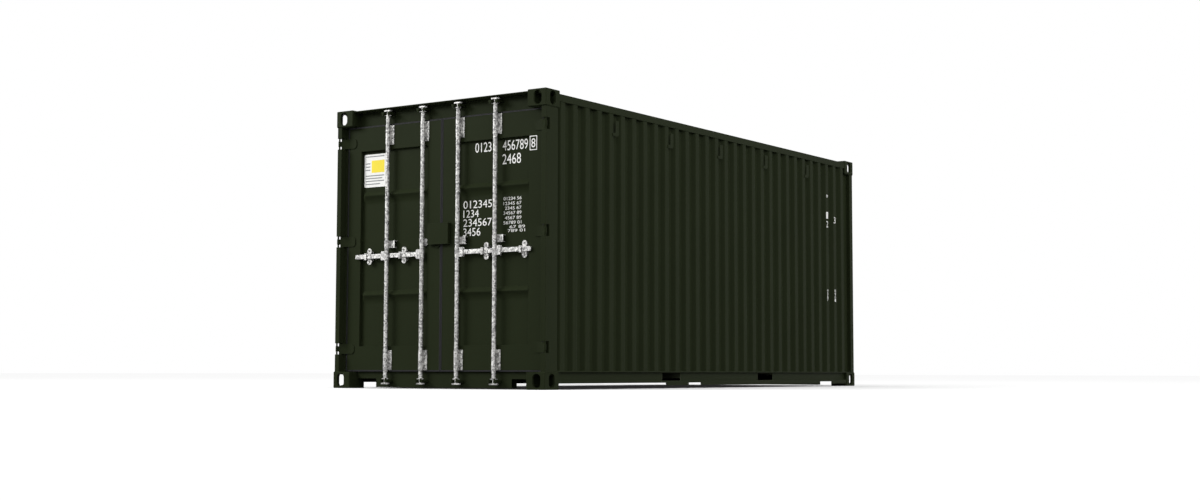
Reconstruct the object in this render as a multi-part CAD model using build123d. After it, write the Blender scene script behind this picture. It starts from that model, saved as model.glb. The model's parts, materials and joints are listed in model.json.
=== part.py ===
from build123d import *
import os
from math import atan2, degrees, hypot

os.makedirs("parts", exist_ok=True)

# A twenty foot dry freight container with two hinged doors at one end.
# Millimetres. X runs from the door end to the closed end, +Y is the left side
# seen by someone who faces the doors, Z is up from the ground, and the origin
# is the centre of the base.

# Overall size
LENGTH = 6058.0
WIDTH = 2438.0
HEIGHT = 2591.0
DOOR_END = -LENGTH / 2
CLOSED_END = LENGTH / 2
SIDE = WIDTH / 2

# Corner castings: hollow blocks with a slot above or below and a hole on each outer side
CASTING_LENGTH = 208.0
CASTING_WIDTH = 200.0
CASTING_HEIGHT = 150.0
CASTING_WALL = 22.0
CASTING_PLATE = 28.0
CASTING_CHAMFER = 5.0
SLOT_LENGTH = 124.0
SLOT_WIDTH = 63.5
SLOT_FROM_END = 102.5
SLOT_FROM_SIDE = 89.5
LASHING_HOLE_WIDTH = 70.0
LASHING_HOLE_HEIGHT = 110.0
POST_BOTTOM = CASTING_HEIGHT
POST_TOP = HEIGHT - CASTING_HEIGHT
RAIL_END = LENGTH / 2 - CASTING_LENGTH
BEAM_END = SIDE - CASTING_WIDTH

# Door posts: a front bar that carries the hinges, and a hollow part behind it
POST_END_INSET = 12.0
POST_SIDE_INSET = 5.0
POST_DEPTH = 173.0
POST_WALL = 6.0
POST_BAR_WIDTH = 51.0
POST_LEDGE_DEPTH = 66.0
POST_WIDTH = 71.0
POST_FRONT = DOOR_END + POST_END_INSET
POST_OUT = SIDE - POST_SIDE_INSET
OPENING_HALF = POST_OUT - POST_WIDTH
POST_BACK = POST_FRONT + POST_DEPTH
POST_LEDGE = POST_FRONT + POST_LEDGE_DEPTH

# Closed end posts
END_POST_LENGTH = 74.0
END_POST_WIDTH = 74.0
END_POST_INSET = 10.0
END_POST_OUT = CLOSED_END - END_POST_INSET
END_POST_IN = END_POST_OUT - END_POST_LENGTH
END_POST_IN_Y = POST_OUT - END_POST_WIDTH

# Rails along the sides
RAIL_INSET = 6.0
RAIL_OUT = SIDE - RAIL_INSET
TOP_RAIL_WIDTH = 60.0
TOP_RAIL_HEIGHT = 62.0
TOP_RAIL_WALL = 4.0
TOP_RAIL_DROP = 29.0
TOP_RAIL_TOP = HEIGHT - TOP_RAIL_DROP
WALL_TOP = TOP_RAIL_TOP - TOP_RAIL_HEIGHT
SEAT_THICKNESS = 11.0
SEAT_WIDTH = 44.0
WALL_BOTTOM = CASTING_HEIGHT + SEAT_THICKNESS
WEB_RECESS = 27.0
RAIL_PLATE = 6.0
LIP_BOTTOM = 28.0
LIP_TOP = 71.0
WEB_OUT = RAIL_OUT - WEB_RECESS
WEB_IN = WEB_OUT - RAIL_PLATE

# Gaps cut in the bottom rail's lip: a long one from the door end, a short one, and one near the closed end
LIP_GAP_TOP = 53.0
LONG_GAP_LENGTH = 1766.0
SHORT_GAP_FROM_LONG = 399.0
SHORT_GAP_LENGTH = 227.0
END_GAP_FROM_CASTING = 365.0
END_GAP_LENGTH = 309.0
LONG_GAP_END = LONG_GAP_LENGTH - RAIL_END
SHORT_GAP_START = LONG_GAP_END + SHORT_GAP_FROM_LONG
END_GAP_END = RAIL_END - END_GAP_FROM_CASTING
LIP_GAPS = ((-RAIL_END, LONG_GAP_END), (SHORT_GAP_START, SHORT_GAP_START + SHORT_GAP_LENGTH),
            (END_GAP_END - END_GAP_LENGTH, END_GAP_END))

# Corrugated walls
CORRUGATION_PITCH = 190.2
CORRUGATION_CREST = 65.0
CORRUGATION_SLOPE = 30.0
CORRUGATION_DEPTH = 36.0
SHEET = 2.0
SIDE_CREST_INSET = 10.0
END_CREST_INSET = 15.0
FIRST_CREST_FROM_POST = 80.5
CREST_FOOT = CORRUGATION_CREST / 2 + CORRUGATION_SLOPE
FIRST_CREST = POST_BACK + FIRST_CREST_FROM_POST
SIDE_CRESTS = int((END_POST_IN - FIRST_CREST - CREST_FOOT) // CORRUGATION_PITCH) + 1
END_CRESTS = int(2 * (END_POST_IN_Y - CREST_FOOT) // CORRUGATION_PITCH) + 1
CREST_Y = SIDE - SIDE_CREST_INSET
CREST_X = CLOSED_END - END_CREST_INSET

# Flat hooks under the top rail, each welded by its foot to the edge of every fifth crest
LUG_EVERY = 5
LUG_COUNT = SIDE_CRESTS // LUG_EVERY - 1
LUG_HEIGHT = 142.0
LUG_TOP_DROP = 59.0
LUG_PLATE = 6.0
LUG_LAP = 16.0
LUG_GAP = 24.0
LUG_STRIP = 56.0
LUG_FOOT = 28.0
LUG_CORNER = 27.0

# Door header and sill
BEAM_FACE_DEPTH = 109.0
BEAM_WALL = 5.0
BEAM_FACE = DOOR_END + BEAM_FACE_DEPTH
BEAM_BACK = POST_BACK
HEADER_DROP = 10.0
HEADER_TOP = HEIGHT - HEADER_DROP
VISOR_THICKNESS = 9.0
VISOR_INSET = 17.0
VISOR_FRONT = DOOR_END + VISOR_INSET
SILL_BOTTOM = 10.0
SILL_STEP = 32.0
NOTCH_LENGTH = 234.0
NOTCH_TOP = 89.0
NOTCH_START = BEAM_END - NOTCH_LENGTH

# Floor, cross members and fork pockets
FLOOR_THICKNESS = 28.0
FLOOR_BOTTOM = CASTING_HEIGHT
FLOOR_TOP = FLOOR_BOTTOM + FLOOR_THICKNESS
MEMBER_HEIGHT = 95.0
MEMBER_WIDTH = 45.0
MEMBER_PLATE = 4.0
MEMBER_SPACING = 300.0
POCKET_CENTRE = 935.0
POCKET_WIDTH = 327.0
POCKET_HEIGHT = 72.0
POCKET_PLATE = 6.0

# Closed end beams
END_BEAM_DROP = 16.0
END_BEAM_WIDTH = 69.0
END_BEAM_WALL = 4.0
END_BEAM_TOP = HEIGHT - END_BEAM_DROP
END_BEAM_IN = END_POST_OUT - END_BEAM_WIDTH
END_ROOF_PLATE = 4.0

# Roof sheet with pressed cross ribs
ROOF_RIB_PITCH = 210.0
ROOF_RIB_WIDTH = 130.0
ROOF_RIB_FROM_SIDE = 99.0
ROOF_RIB_HEIGHT = 20.0
ROOF_RIB_SLOPE = 24.0
ROOF_END_MARGIN = 190.0
ROOF_RIB_LENGTH = WIDTH - 2 * ROOF_RIB_FROM_SIDE
ROOF_RIB_COUNT = int((END_BEAM_IN - BEAM_BACK - 2 * ROOF_END_MARGIN) // ROOF_RIB_PITCH) + 1
ROOF_END = RAIL_END

# Door leaves
FACE_DEPTH = 84.0
LEAF_THICKNESS = 50.0
SEAL_WIDTH = 11.5
SEAL_PROUD = 2.0
SEAL_SET_BACK = 6.0
DOOR_GAP = 5.0
INNER_STILE = 165.0
OUTER_STILE = 166.0
BOTTOM_STILE = 236.0
TOP_STILE = 237.0
RECESS_DEPTH = 33.0
PANEL_SHEET = 3.0
LOW_RIDGE_RISE = 468.0
HIGH_RIDGE_DROP = 424.0
RIDGE_BASE = 144.0
RIDGE_CREST = 8.0
RIDGE_RISE = 32.0
RIDGE_HIP = 68.0
FACE = DOOR_END + FACE_DEPTH
PANEL_FACE = FACE + RECESS_DEPTH
RECESS_INNER = INNER_STILE
RECESS_OUTER = OPENING_HALF - OUTER_STILE
RECESS_BOTTOM = POST_BOTTOM + BOTTOM_STILE
RECESS_TOP = POST_TOP - TOP_STILE
RIDGE_HEIGHTS = (RECESS_BOTTOM + LOW_RIDGE_RISE, RECESS_TOP - HIGH_RIDGE_DROP)
LEAF_BACK = FACE + LEAF_THICKNESS
SEAL_Y = (DOOR_GAP / 2, OPENING_HALF - DOOR_GAP)
SEAL_Z = (POST_BOTTOM + DOOR_GAP, POST_TOP - DOOR_GAP)
LEAF_Y = (SEAL_Y[0] + SEAL_WIDTH, SEAL_Y[1] - SEAL_WIDTH)
LEAF_Z = (SEAL_Z[0] + SEAL_WIDTH, SEAL_Z[1] - SEAL_WIDTH)

# Hinges
LOW_HINGE_RISE = 213.0
HIGH_HINGE_DROP = 155.0
MIDDLE_HINGE = 1363.0
HINGE_HEIGHTS = (POST_BOTTOM + LOW_HINGE_RISE, MIDDLE_HINGE, POST_TOP - HIGH_HINGE_DROP)
HINGE_NOTCH_HEIGHT = 102.0
HINGE_NOTCH_DEPTH = 52.0
PIN_INSET = 13.0
PIN_RADIUS = 8.0
PIN_CLEARANCE = 0.4
PIN_ROOT = 1.0
KNUCKLE_RADIUS = 12.0
KNUCKLE_HEIGHT = 50.0
BLADE_HEIGHT = 92.0
BLADE_PLATE = 8.0
BLADE_TIP_REACH = 108.0
BLADE_LANDING_REACH = 23.0
BLADE_CORNER = 34.0
BLADE_TIP = OPENING_HALF - BLADE_TIP_REACH
BLADE_LANDING = OPENING_HALF - BLADE_LANDING_REACH
PIN_X = POST_FRONT + PIN_INSET
PIN_Y = POST_OUT - PIN_INSET

# Lock bars, turned by the handles
BAR_FROM_POST = 516.0
BAR_OUTER = OPENING_HALF - BAR_FROM_POST
BAR_INNER = 206.0
BAR_RADIUS = 19.0
BAR_STANDOFF = 27.0
BAR_X = FACE - BAR_STANDOFF
BARS = {"outer_left": (BAR_OUTER, 1), "inner_left": (BAR_INNER, 1),
        "inner_right": (-BAR_INNER, -1), "outer_right": (-BAR_OUTER, -1)}
NECK_RADIUS = 13.0
NECK_ROOT = 1.0
HEAD_REACH = 46.0
HEAD_HALF_WIDTH = 20.0
HEAD_THICKNESS = 14.0
FLANGE_REACH = 36.0
FLANGE_THICKNESS = 8.0
CAM_GAP = 32.0
TOP_HEAD_DROP = 29.0
TOP_HEAD_TOP = HEIGHT - TOP_HEAD_DROP
BOTTOM_HEAD_BOTTOM = 38.0

# Keepers that stand on the header and the sill beside each cam
PRONG_NEAR = 22.0
PRONG_FAR = 50.0
PRONG_HEIGHT = 20.0
TIP_REACH = 32.0
TIP_THICKNESS = 7.0
TIP_NEAR = 26.0
TIP_FAR = 44.0
TIP_HEIGHT = 16.0

# Bar brackets
BRACKET_HEIGHT = 180.0
BRACKET_PLATE = 6.0
BRACKET_REACH = 76.0
TOP_BRACKET_DROP = 108.0
BOTTOM_BRACKET_RISE = 107.0
TOP_BRACKET_CENTRE = POST_TOP - TOP_BRACKET_DROP
BOTTOM_BRACKET_CENTRE = POST_BOTTOM + BOTTOM_BRACKET_RISE
MID_BRACKET_HEIGHT = 66.0
MID_BRACKET_CENTRE = 1320.0
MID_BRACKET_FLANGE = 5.0
SLEEVE_RADIUS = 22.0
SLEEVE_CLEARANCE = 0.5

# Handles
HANDLE_Z = 1215.0
HANDLE_TIP_GAP = 31.0
HANDLE_POST_GAP = 126.0
HANDLE_REACH = {BAR_OUTER: BAR_FROM_POST - HANDLE_POST_GAP,
                BAR_INNER: BAR_OUTER - BAR_INNER - HANDLE_TIP_GAP}
HANDLE_HEIGHT = 40.0
HANDLE_THICKNESS = 12.0
HANDLE_STANDOFF = 11.0
HANDLE_EYE = 21.0
HANDLE_TIP_RADIUS = 8.0
HUB_HEIGHT = 84.0
HUB_REACH = 68.0
HUB_PIN_REACH = 48.0
HUB_GAP = 1.0
HUB_FRONT_CHEEK = 8.0
HUB_BACK_CHEEK = 5.0
HUB_CORNER = 14.0
HUB_PIN_CLEARANCE = 0.3
HANDLE_BACK = FACE - HANDLE_STANDOFF
HANDLE_FRONT = HANDLE_BACK - HANDLE_THICKNESS

# Handle retainers: a plate with two round lobes behind the handle, and a hook in front
RETAINER_HEIGHT = 152.0
RETAINER_WIDTH = 54.0
RETAINER_PLATE = 6.0
RETAINER_WAIST = 27.0
RETAINER_HOLE = 9.0
RETAINER_BOSS = 36.0
LEFT_RETAINER_SHARE = 0.59
RIGHT_RETAINER_SHARE = 0.8
HOOK_OFFSET = 30.0
HOOK_WIDTH = 22.0
HOOK_PLATE = 6.0
HOOK_CLEARANCE = 5.0
HOOK_RISE = 10.0

# Lock box over the meeting line, and the eye plate under it
BOX_LEFT = 133.0
BOX_RIGHT = -105.0
BOX_BOTTOM = 1293.0
BOX_TOP = 1485.0
BOX_DEPTH = 39.0
BOX_PLATE = 5.0
BOX_CLEARANCE = 13.0
EYE_CENTRE = 46.0
EYE_RADIUS = 29.0
EYE_THICKNESS = 8.0
EYE_HOLE = 11.0
EYE_TOP = 1400.0


def block(x, y, z):
    """A box between low and high values on each axis."""
    size = (x[1] - x[0], y[1] - y[0], z[1] - z[0])
    return Pos((x[0] + x[1]) / 2, (y[0] + y[1]) / 2, (z[0] + z[1]) / 2) * Box(*size)


def outline(points, low, high):
    """A plan outline carried up from one height to another."""
    face = make_face(Polyline(*points, close=True))
    return Pos(0, 0, low) * extrude(face, amount=high - low)


def side_outline(points, low, high):
    """An outline of (x, z) points carried along Y from low to high."""
    face = make_face(Polyline(*[(x, 0, z) for x, z in points], close=True))
    return Pos(0, low, 0) * extrude(face, amount=high - low, dir=(0, 1, 0))


def rod(radius, x, y, low, high):
    """An upright round rod."""
    return Pos(x, y, (low + high) / 2) * Cylinder(radius, high - low)


def other_side(shape):
    """The same shape on the right side."""
    return shape.mirror(Plane.XZ)


def one(shapes):
    """Several solids as one shape, fused where they meet."""
    result = shapes[0]
    for shape in shapes[1:]:
        result = result + shape
    return result


def apart(shapes):
    """Several solids that stay separate in one sub-part."""
    return Compound([solid for shape in shapes for solid in shape.solids()])


def both_sides(shape):
    """The left and right ones of a pair, in one sub-part."""
    return apart([shape, other_side(shape)])


def corner_casting():
    """The casting at the door end, left side, bottom corner."""
    x = (DOOR_END, DOOR_END + CASTING_LENGTH)
    y = (SIDE - CASTING_WIDTH, SIDE)
    body = block(x, y, (0, CASTING_HEIGHT))
    body = chamfer(body.edges(), CASTING_CHAMFER)
    inside = block((x[0] + CASTING_WALL, x[1] - CASTING_WALL), (y[0] + CASTING_WALL, y[1] - CASTING_WALL),
                   (CASTING_PLATE, CASTING_HEIGHT - CASTING_PLATE))
    slot_x = DOOR_END + SLOT_FROM_END
    slot_y = SIDE - SLOT_FROM_SIDE
    twist_slot = extrude(SlotOverall(SLOT_LENGTH, SLOT_WIDTH), amount=CASTING_HEIGHT / 2)
    end_hole = extrude(SlotOverall(LASHING_HOLE_HEIGHT, LASHING_HOLE_WIDTH), amount=CASTING_WIDTH / 2)
    side_hole = extrude(SlotOverall(LASHING_HOLE_HEIGHT, LASHING_HOLE_WIDTH, rotation=90),
                        amount=CASTING_WIDTH / 2)
    middle = CASTING_HEIGHT / 2
    body -= inside
    body -= Pos(slot_x, slot_y, 0) * twist_slot
    body -= Pos(DOOR_END, slot_y, middle) * Rot(0, 90, 0) * end_hole
    body -= Pos(slot_x, SIDE, middle) * Rot(90, 0, 0) * side_hole
    return body


def castings():
    """The eight castings in four pairs, the top ones turned over so that the slot is above."""
    half_height = Plane.XY.offset(HEIGHT / 2)
    found = {}
    for end in ("door", "closed"):
        for level in ("bottom", "top"):
            shape = corner_casting()
            if end == "closed":
                shape = shape.mirror(Plane.YZ)
            if level == "top":
                shape = shape.mirror(half_height)
            found[f"{end}_end_{level}_castings"] = both_sides(shape)
    return found


def casting_spaces():
    """The boxes that the castings fill, which sheets and flanges are cut round."""
    ends = ((DOOR_END, DOOR_END + CASTING_LENGTH), (CLOSED_END - CASTING_LENGTH, CLOSED_END))
    sides = ((-SIDE, -BEAM_END), (BEAM_END, SIDE))
    levels = ((0, CASTING_HEIGHT), (POST_TOP, HEIGHT))
    return [block(x, y, z) for x in ends for y in sides for z in levels]


def door_post():
    """The left door post: hinge bar in front, hollow part behind, a pin across each notch."""
    bar_in = POST_OUT - POST_BAR_WIDTH
    points = [(POST_FRONT, POST_OUT), (POST_BACK, POST_OUT), (POST_BACK, OPENING_HALF),
              (POST_LEDGE, OPENING_HALF), (POST_LEDGE, bar_in), (POST_FRONT, bar_in)]
    post = outline(points, POST_BOTTOM, POST_TOP)
    post -= block((POST_LEDGE + POST_WALL, POST_BACK - POST_WALL),
                  (OPENING_HALF + POST_WALL, POST_OUT - POST_WALL), (POST_BOTTOM, POST_TOP))
    for z in HINGE_HEIGHTS:
        low, high = z - HINGE_NOTCH_HEIGHT / 2, z + HINGE_NOTCH_HEIGHT / 2
        post -= block((POST_FRONT, POST_FRONT + HINGE_NOTCH_DEPTH), (bar_in, POST_OUT), (low, high))
        post += rod(PIN_RADIUS, PIN_X, PIN_Y, low - PIN_ROOT, high + PIN_ROOT)
    return post


def end_post():
    """The left post of the closed end, a square tube."""
    y = (END_POST_IN_Y, POST_OUT)
    post = block((END_POST_IN, END_POST_OUT), y, (POST_BOTTOM, POST_TOP))
    return post - block((END_POST_IN + POST_WALL, END_POST_OUT - POST_WALL),
                        (y[0] + POST_WALL, y[1] - POST_WALL), (POST_BOTTOM, POST_TOP))


def top_rail():
    """The left top rail, a tube between two castings."""
    y = (RAIL_OUT - TOP_RAIL_WIDTH, RAIL_OUT)
    z = (WALL_TOP, TOP_RAIL_TOP)
    tube = block((-RAIL_END, RAIL_END), y, z)
    return tube - block((-RAIL_END, RAIL_END), (y[0] + TOP_RAIL_WALL, y[1] - TOP_RAIL_WALL),
                        (z[0] + TOP_RAIL_WALL, z[1] - TOP_RAIL_WALL))


def pocket_space(x, grow):
    """The space of one fork pocket, grown by its plate where asked."""
    high = FLOOR_BOTTOM - POCKET_PLATE
    return block((x - POCKET_WIDTH / 2 - grow, x + POCKET_WIDTH / 2 + grow), (-WEB_OUT, WEB_OUT),
                 (high - POCKET_HEIGHT - grow, high + grow))


def bottom_rail():
    """The left bottom rail: wall seat, recessed web and a lip below, cut for the fork pockets."""
    seat = block((POST_BACK, END_POST_IN), (RAIL_OUT - SEAT_WIDTH, RAIL_OUT), (CASTING_HEIGHT, WALL_BOTTOM))
    span = (-RAIL_END, RAIL_END)
    leg_bottom = LIP_TOP - RAIL_PLATE
    web = block(span, (WEB_IN, WEB_OUT), (leg_bottom, CASTING_HEIGHT))
    leg = block(span, (WEB_OUT, RAIL_OUT), (leg_bottom, LIP_TOP))
    lip_y = (RAIL_OUT - RAIL_PLATE, RAIL_OUT)
    lip = block(span, lip_y, (LIP_BOTTOM, leg_bottom))
    for gap in LIP_GAPS:
        lip -= block(gap, lip_y, (LIP_BOTTOM, LIP_GAP_TOP))
    for x in (-POCKET_CENTRE, POCKET_CENTRE):
        web -= pocket_space(x, POCKET_PLATE)
    return one([seat, web, leg, lip])


def fork_pockets():
    """Two square tunnels that run from one bottom rail to the other."""
    return apart([pocket_space(x, POCKET_PLATE) - pocket_space(x, 0)
                  for x in (-POCKET_CENTRE, POCKET_CENTRE)])


def cross_members():
    """Channels under the floor from web to web, left out where a fork pocket passes."""
    bottom = FLOOR_BOTTOM - MEMBER_HEIGHT
    room = (POCKET_WIDTH + MEMBER_WIDTH) / 2 + POCKET_PLATE
    count = int(RAIL_END // MEMBER_SPACING)
    members = []
    for step in range(-count, count + 1):
        x = step * MEMBER_SPACING
        if abs(abs(x) - POCKET_CENTRE) < room:
            continue
        low, high = x - MEMBER_WIDTH / 2, x + MEMBER_WIDTH / 2
        channel = block((low, high), (-WEB_IN, WEB_IN), (bottom, FLOOR_BOTTOM))
        channel -= block((low + MEMBER_PLATE, high), (-WEB_IN, WEB_IN),
                         (bottom + MEMBER_PLATE, FLOOR_BOTTOM - MEMBER_PLATE))
        members.append(channel)
    return apart(members)


def corrugation(start, end, first_crest, count):
    """Points (along, depth) of a corrugated line, with depth 0 on the crests."""
    points = [(start, CORRUGATION_DEPTH)]
    for index in range(count):
        centre = first_crest + index * CORRUGATION_PITCH
        half = CORRUGATION_CREST / 2
        points += [(centre - half - CORRUGATION_SLOPE, CORRUGATION_DEPTH), (centre - half, 0),
                   (centre + half, 0), (centre + half + CORRUGATION_SLOPE, CORRUGATION_DEPTH)]
    points.append((end, CORRUGATION_DEPTH))
    return points


def side_wall():
    """The left side wall, one corrugated sheet from post to post."""
    line = corrugation(POST_BACK, END_POST_IN, FIRST_CREST, SIDE_CRESTS)
    outer = [(along, CREST_Y - depth) for along, depth in line]
    inner = [(along, CREST_Y - SHEET - depth) for along, depth in reversed(line)]
    wall = outline(outer + inner, WALL_BOTTOM, WALL_TOP)
    for space in casting_spaces():
        wall -= space
    return wall


def end_wall():
    """The closed end wall, corrugated like the sides."""
    first = -(END_CRESTS - 1) / 2 * CORRUGATION_PITCH
    line = corrugation(-END_POST_IN_Y, END_POST_IN_Y, first, END_CRESTS)
    outer = [(CREST_X - depth, along) for along, depth in line]
    inner = [(CREST_X - SHEET - depth, along) for along, depth in reversed(line)]
    wall = outline(outer + inner, WALL_BOTTOM, WALL_TOP)
    for space in casting_spaces():
        wall -= space
    return wall


def wall_lugs():
    """Flat hooks under both top rails: a foot on the crest's edge and a strip that stands up beside it."""
    lugs = []
    top = WALL_TOP - LUG_TOP_DROP
    bottom = top - LUG_HEIGHT
    y = (CREST_Y, CREST_Y + LUG_PLATE)
    for index in range(LUG_COUNT):
        edge = FIRST_CREST + (LUG_EVERY * (index + 1) - 1) * CORRUGATION_PITCH + CORRUGATION_CREST / 2
        end = edge + LUG_GAP + LUG_STRIP
        foot = block((edge - LUG_LAP, end), y, (bottom, bottom + LUG_FOOT))
        lug = foot + block((edge + LUG_GAP, end), y, (bottom, top))
        corner = lug.edges().filter_by(Axis.Y).sort_by(lambda line: line.center().Z - line.center().X)[0]
        lugs.append(fillet(corner, LUG_CORNER))
    return apart([shape for lug in lugs for shape in (lug, other_side(lug))])


def roof_rib(x, lift):
    """One pressed roof rib, a low hipped block that spans between the top rails."""
    low = Pos(x, 0, TOP_RAIL_TOP + lift) * Rectangle(ROOF_RIB_WIDTH, ROOF_RIB_LENGTH)
    crown = Rectangle(ROOF_RIB_WIDTH - 2 * ROOF_RIB_SLOPE, ROOF_RIB_LENGTH - 2 * ROOF_RIB_SLOPE)
    high = Pos(x, 0, TOP_RAIL_TOP + lift + ROOF_RIB_HEIGHT) * crown
    return loft([low, high], ruled=True)


def roof():
    """The roof sheet, with its ribs hollow from below."""
    sheet = block((BEAM_BACK, ROOF_END), (-RAIL_OUT, RAIL_OUT), (TOP_RAIL_TOP, TOP_RAIL_TOP + SHEET))
    places = [(index - (ROOF_RIB_COUNT - 1) / 2) * ROOF_RIB_PITCH for index in range(ROOF_RIB_COUNT)]
    sheet = one([sheet] + [roof_rib(x, SHEET) for x in places])
    for x in places:
        sheet -= roof_rib(x, 0)
    for space in casting_spaces():
        sheet -= space
    return sheet


def floor_deck():
    """The timber floor between the side walls."""
    half = RAIL_OUT - SEAT_WIDTH
    return block((BEAM_BACK, END_POST_IN), (-half, half), (FLOOR_BOTTOM, FLOOR_TOP))


def door_header():
    """The beam over the doors, with a visor along its top edge."""
    under_visor = HEADER_TOP - VISOR_THICKNESS
    points = [(BEAM_FACE, POST_TOP), (BEAM_BACK, POST_TOP), (BEAM_BACK, HEADER_TOP),
              (VISOR_FRONT, HEADER_TOP), (VISOR_FRONT, under_visor), (BEAM_FACE, under_visor)]
    beam = side_outline(points, -BEAM_END, BEAM_END)
    return beam - block((BEAM_FACE + BEAM_WALL, BEAM_BACK - BEAM_WALL), (-BEAM_END, BEAM_END),
                        (POST_TOP + BEAM_WALL, HEADER_TOP - BEAM_WALL))


def end_notches():
    """The cut-outs under both ends of a bottom beam."""
    span = (DOOR_END, CLOSED_END)
    return [block(span, (-BEAM_END, -NOTCH_START), (0, NOTCH_TOP)),
            block(span, (NOTCH_START, BEAM_END), (0, NOTCH_TOP))]


def door_sill():
    """The beam under the doors, stepped up behind them to the floor."""
    points = [(BEAM_FACE, SILL_BOTTOM), (BEAM_BACK, SILL_BOTTOM), (BEAM_BACK, FLOOR_TOP),
              (BEAM_FACE + SILL_STEP, FLOOR_TOP), (BEAM_FACE + SILL_STEP, CASTING_HEIGHT),
              (BEAM_FACE, CASTING_HEIGHT)]
    beam = side_outline(points, -BEAM_END, BEAM_END)
    beam -= block((BEAM_FACE + BEAM_WALL, BEAM_BACK - BEAM_WALL), (-BEAM_END, BEAM_END),
                  (SILL_BOTTOM + BEAM_WALL, CASTING_HEIGHT - BEAM_WALL))
    for notch in end_notches():
        beam -= notch
    return beam


def closed_end_sill():
    """The bottom beam of the closed end, a channel with the wall seat on top."""
    x = (END_POST_IN, END_POST_OUT)
    y = (-BEAM_END, BEAM_END)
    web = block((x[1] - RAIL_PLATE, x[1]), y, (SILL_BOTTOM, CASTING_HEIGHT))
    foot = block(x, y, (SILL_BOTTOM, SILL_BOTTOM + RAIL_PLATE))
    seat = block(x, (-END_POST_IN_Y, END_POST_IN_Y), (CASTING_HEIGHT, WALL_BOTTOM))
    beam = one([web, foot, seat])
    for notch in end_notches():
        beam -= notch
    return beam


def closed_end_top_rail():
    """The top beam of the closed end: a tube between two castings and a plate back to the roof."""
    x = (END_BEAM_IN, END_POST_OUT)
    y = (-BEAM_END, BEAM_END)
    z = (WALL_TOP, END_BEAM_TOP)
    tube = block(x, y, z) - block((x[0] + END_BEAM_WALL, x[1] - END_BEAM_WALL), y,
                                  (z[0] + END_BEAM_WALL, z[1] - END_BEAM_WALL))
    return tube + block((ROOF_END, x[0]), y, (TOP_RAIL_TOP, TOP_RAIL_TOP + END_ROOF_PLATE))


def ridge(z, shift):
    """One pressed ridge across a door panel, with hipped ends."""
    centre = (RECESS_INNER + RECESS_OUTER) / 2
    width = RECESS_OUTER - RECESS_INNER
    root = Plane(origin=(PANEL_FACE + shift, centre, z), x_dir=(0, 1, 0), z_dir=(-1, 0, 0))
    crest = root.offset(RIDGE_RISE)
    crest_line = Rectangle(width - 2 * RIDGE_HIP, RIDGE_CREST)
    return loft([root * Rectangle(width, RIDGE_BASE), crest * crest_line], ruled=True)


def door_leaf():
    """The left door leaf: a thick frame round a pressed panel with two ridges."""
    leaf = block((FACE, LEAF_BACK), LEAF_Y, LEAF_Z)
    window = ((RECESS_INNER, RECESS_OUTER), (RECESS_BOTTOM, RECESS_TOP))
    leaf -= block((FACE, LEAF_BACK), *window)
    leaf += block((PANEL_FACE, PANEL_FACE + PANEL_SHEET), *window)
    for z in RIDGE_HEIGHTS:
        leaf += ridge(z, 0)
        leaf -= ridge(z, PANEL_SHEET)
    return leaf


def door_seal():
    """The rubber seal round the left leaf."""
    x = (FACE - SEAL_PROUD, LEAF_BACK - SEAL_SET_BACK)
    return block(x, SEAL_Y, SEAL_Z) - block(x, LEAF_Y, LEAF_Z)


def hinge_blades():
    """Three hinge blades on the left leaf, each from its knuckle back to the leaf's face."""
    plate_x = FACE - BLADE_PLATE / 2
    run = (plate_x - PIN_X, BLADE_LANDING - PIN_Y)
    length = hypot(*run)
    turn = degrees(atan2(run[1], run[0]))
    along = (run[0] / length, run[1] / length)
    neck = KNUCKLE_RADIUS + BLADE_PLATE
    blades = []
    for z in HINGE_HEIGHTS:
        knuckle = Pos(PIN_X, PIN_Y, z) * Cylinder(KNUCKLE_RADIUS, KNUCKLE_HEIGHT)
        middle = neck / 2
        link = Pos(PIN_X + along[0] * middle, PIN_Y + along[1] * middle, z) * Rot(0, 0, turn)
        link = link * Box(neck, BLADE_PLATE, KNUCKLE_HEIGHT)
        middle = (length + neck) / 2
        arm = Pos(PIN_X + along[0] * middle, PIN_Y + along[1] * middle, z) * Rot(0, 0, turn)
        arm = arm * Box(length - neck, BLADE_PLATE, BLADE_HEIGHT)
        palm = block((FACE - BLADE_PLATE, FACE), (BLADE_TIP, BLADE_LANDING + BLADE_PLATE / 2),
                     (z - BLADE_HEIGHT / 2, z + BLADE_HEIGHT / 2))
        tips = palm.edges().filter_by(Axis.X).group_by(Axis.Y)[0]
        palm = fillet(tips, BLADE_CORNER)
        bore = Pos(PIN_X, PIN_Y, z) * Cylinder(PIN_RADIUS + PIN_CLEARANCE, BLADE_HEIGHT)
        blades.append(one([knuckle, link, arm, palm]) - bore)
    return apart(blades)


def cam_level(low, up):
    """Heights of a cam's head, gap and flange; up is 1 at the top end and -1 below."""
    head = (low, low + HEAD_THICKNESS) if up < 0 else (low - HEAD_THICKNESS, low)
    inner = head[1] if up < 0 else head[0]
    flange = inner - up * CAM_GAP
    return head, inner, flange


def stadium(reach, x, y, z):
    """A flat plate with round ends, long across the door."""
    plate = extrude(SlotOverall(2 * reach, 2 * HEAD_HALF_WIDTH, rotation=90), amount=z[1] - z[0])
    return Pos(x, y, z[0]) * plate


def bar_cams(y):
    """The two cams of a lock bar, each an outer head and an inner flange on a neck."""
    cams = []
    for start, up in ((TOP_HEAD_TOP, 1), (BOTTOM_HEAD_BOTTOM, -1)):
        head, inner, flange = cam_level(start, up)
        neck = rod(NECK_RADIUS, BAR_X, y, *sorted((inner + up * NECK_ROOT, flange - up * NECK_ROOT)))
        plate = stadium(FLANGE_REACH, BAR_X, y, sorted((flange, flange - up * FLANGE_THICKNESS)))
        cams.append(one([stadium(HEAD_REACH, BAR_X, y, head), neck, plate]))
    return apart(cams)


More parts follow.
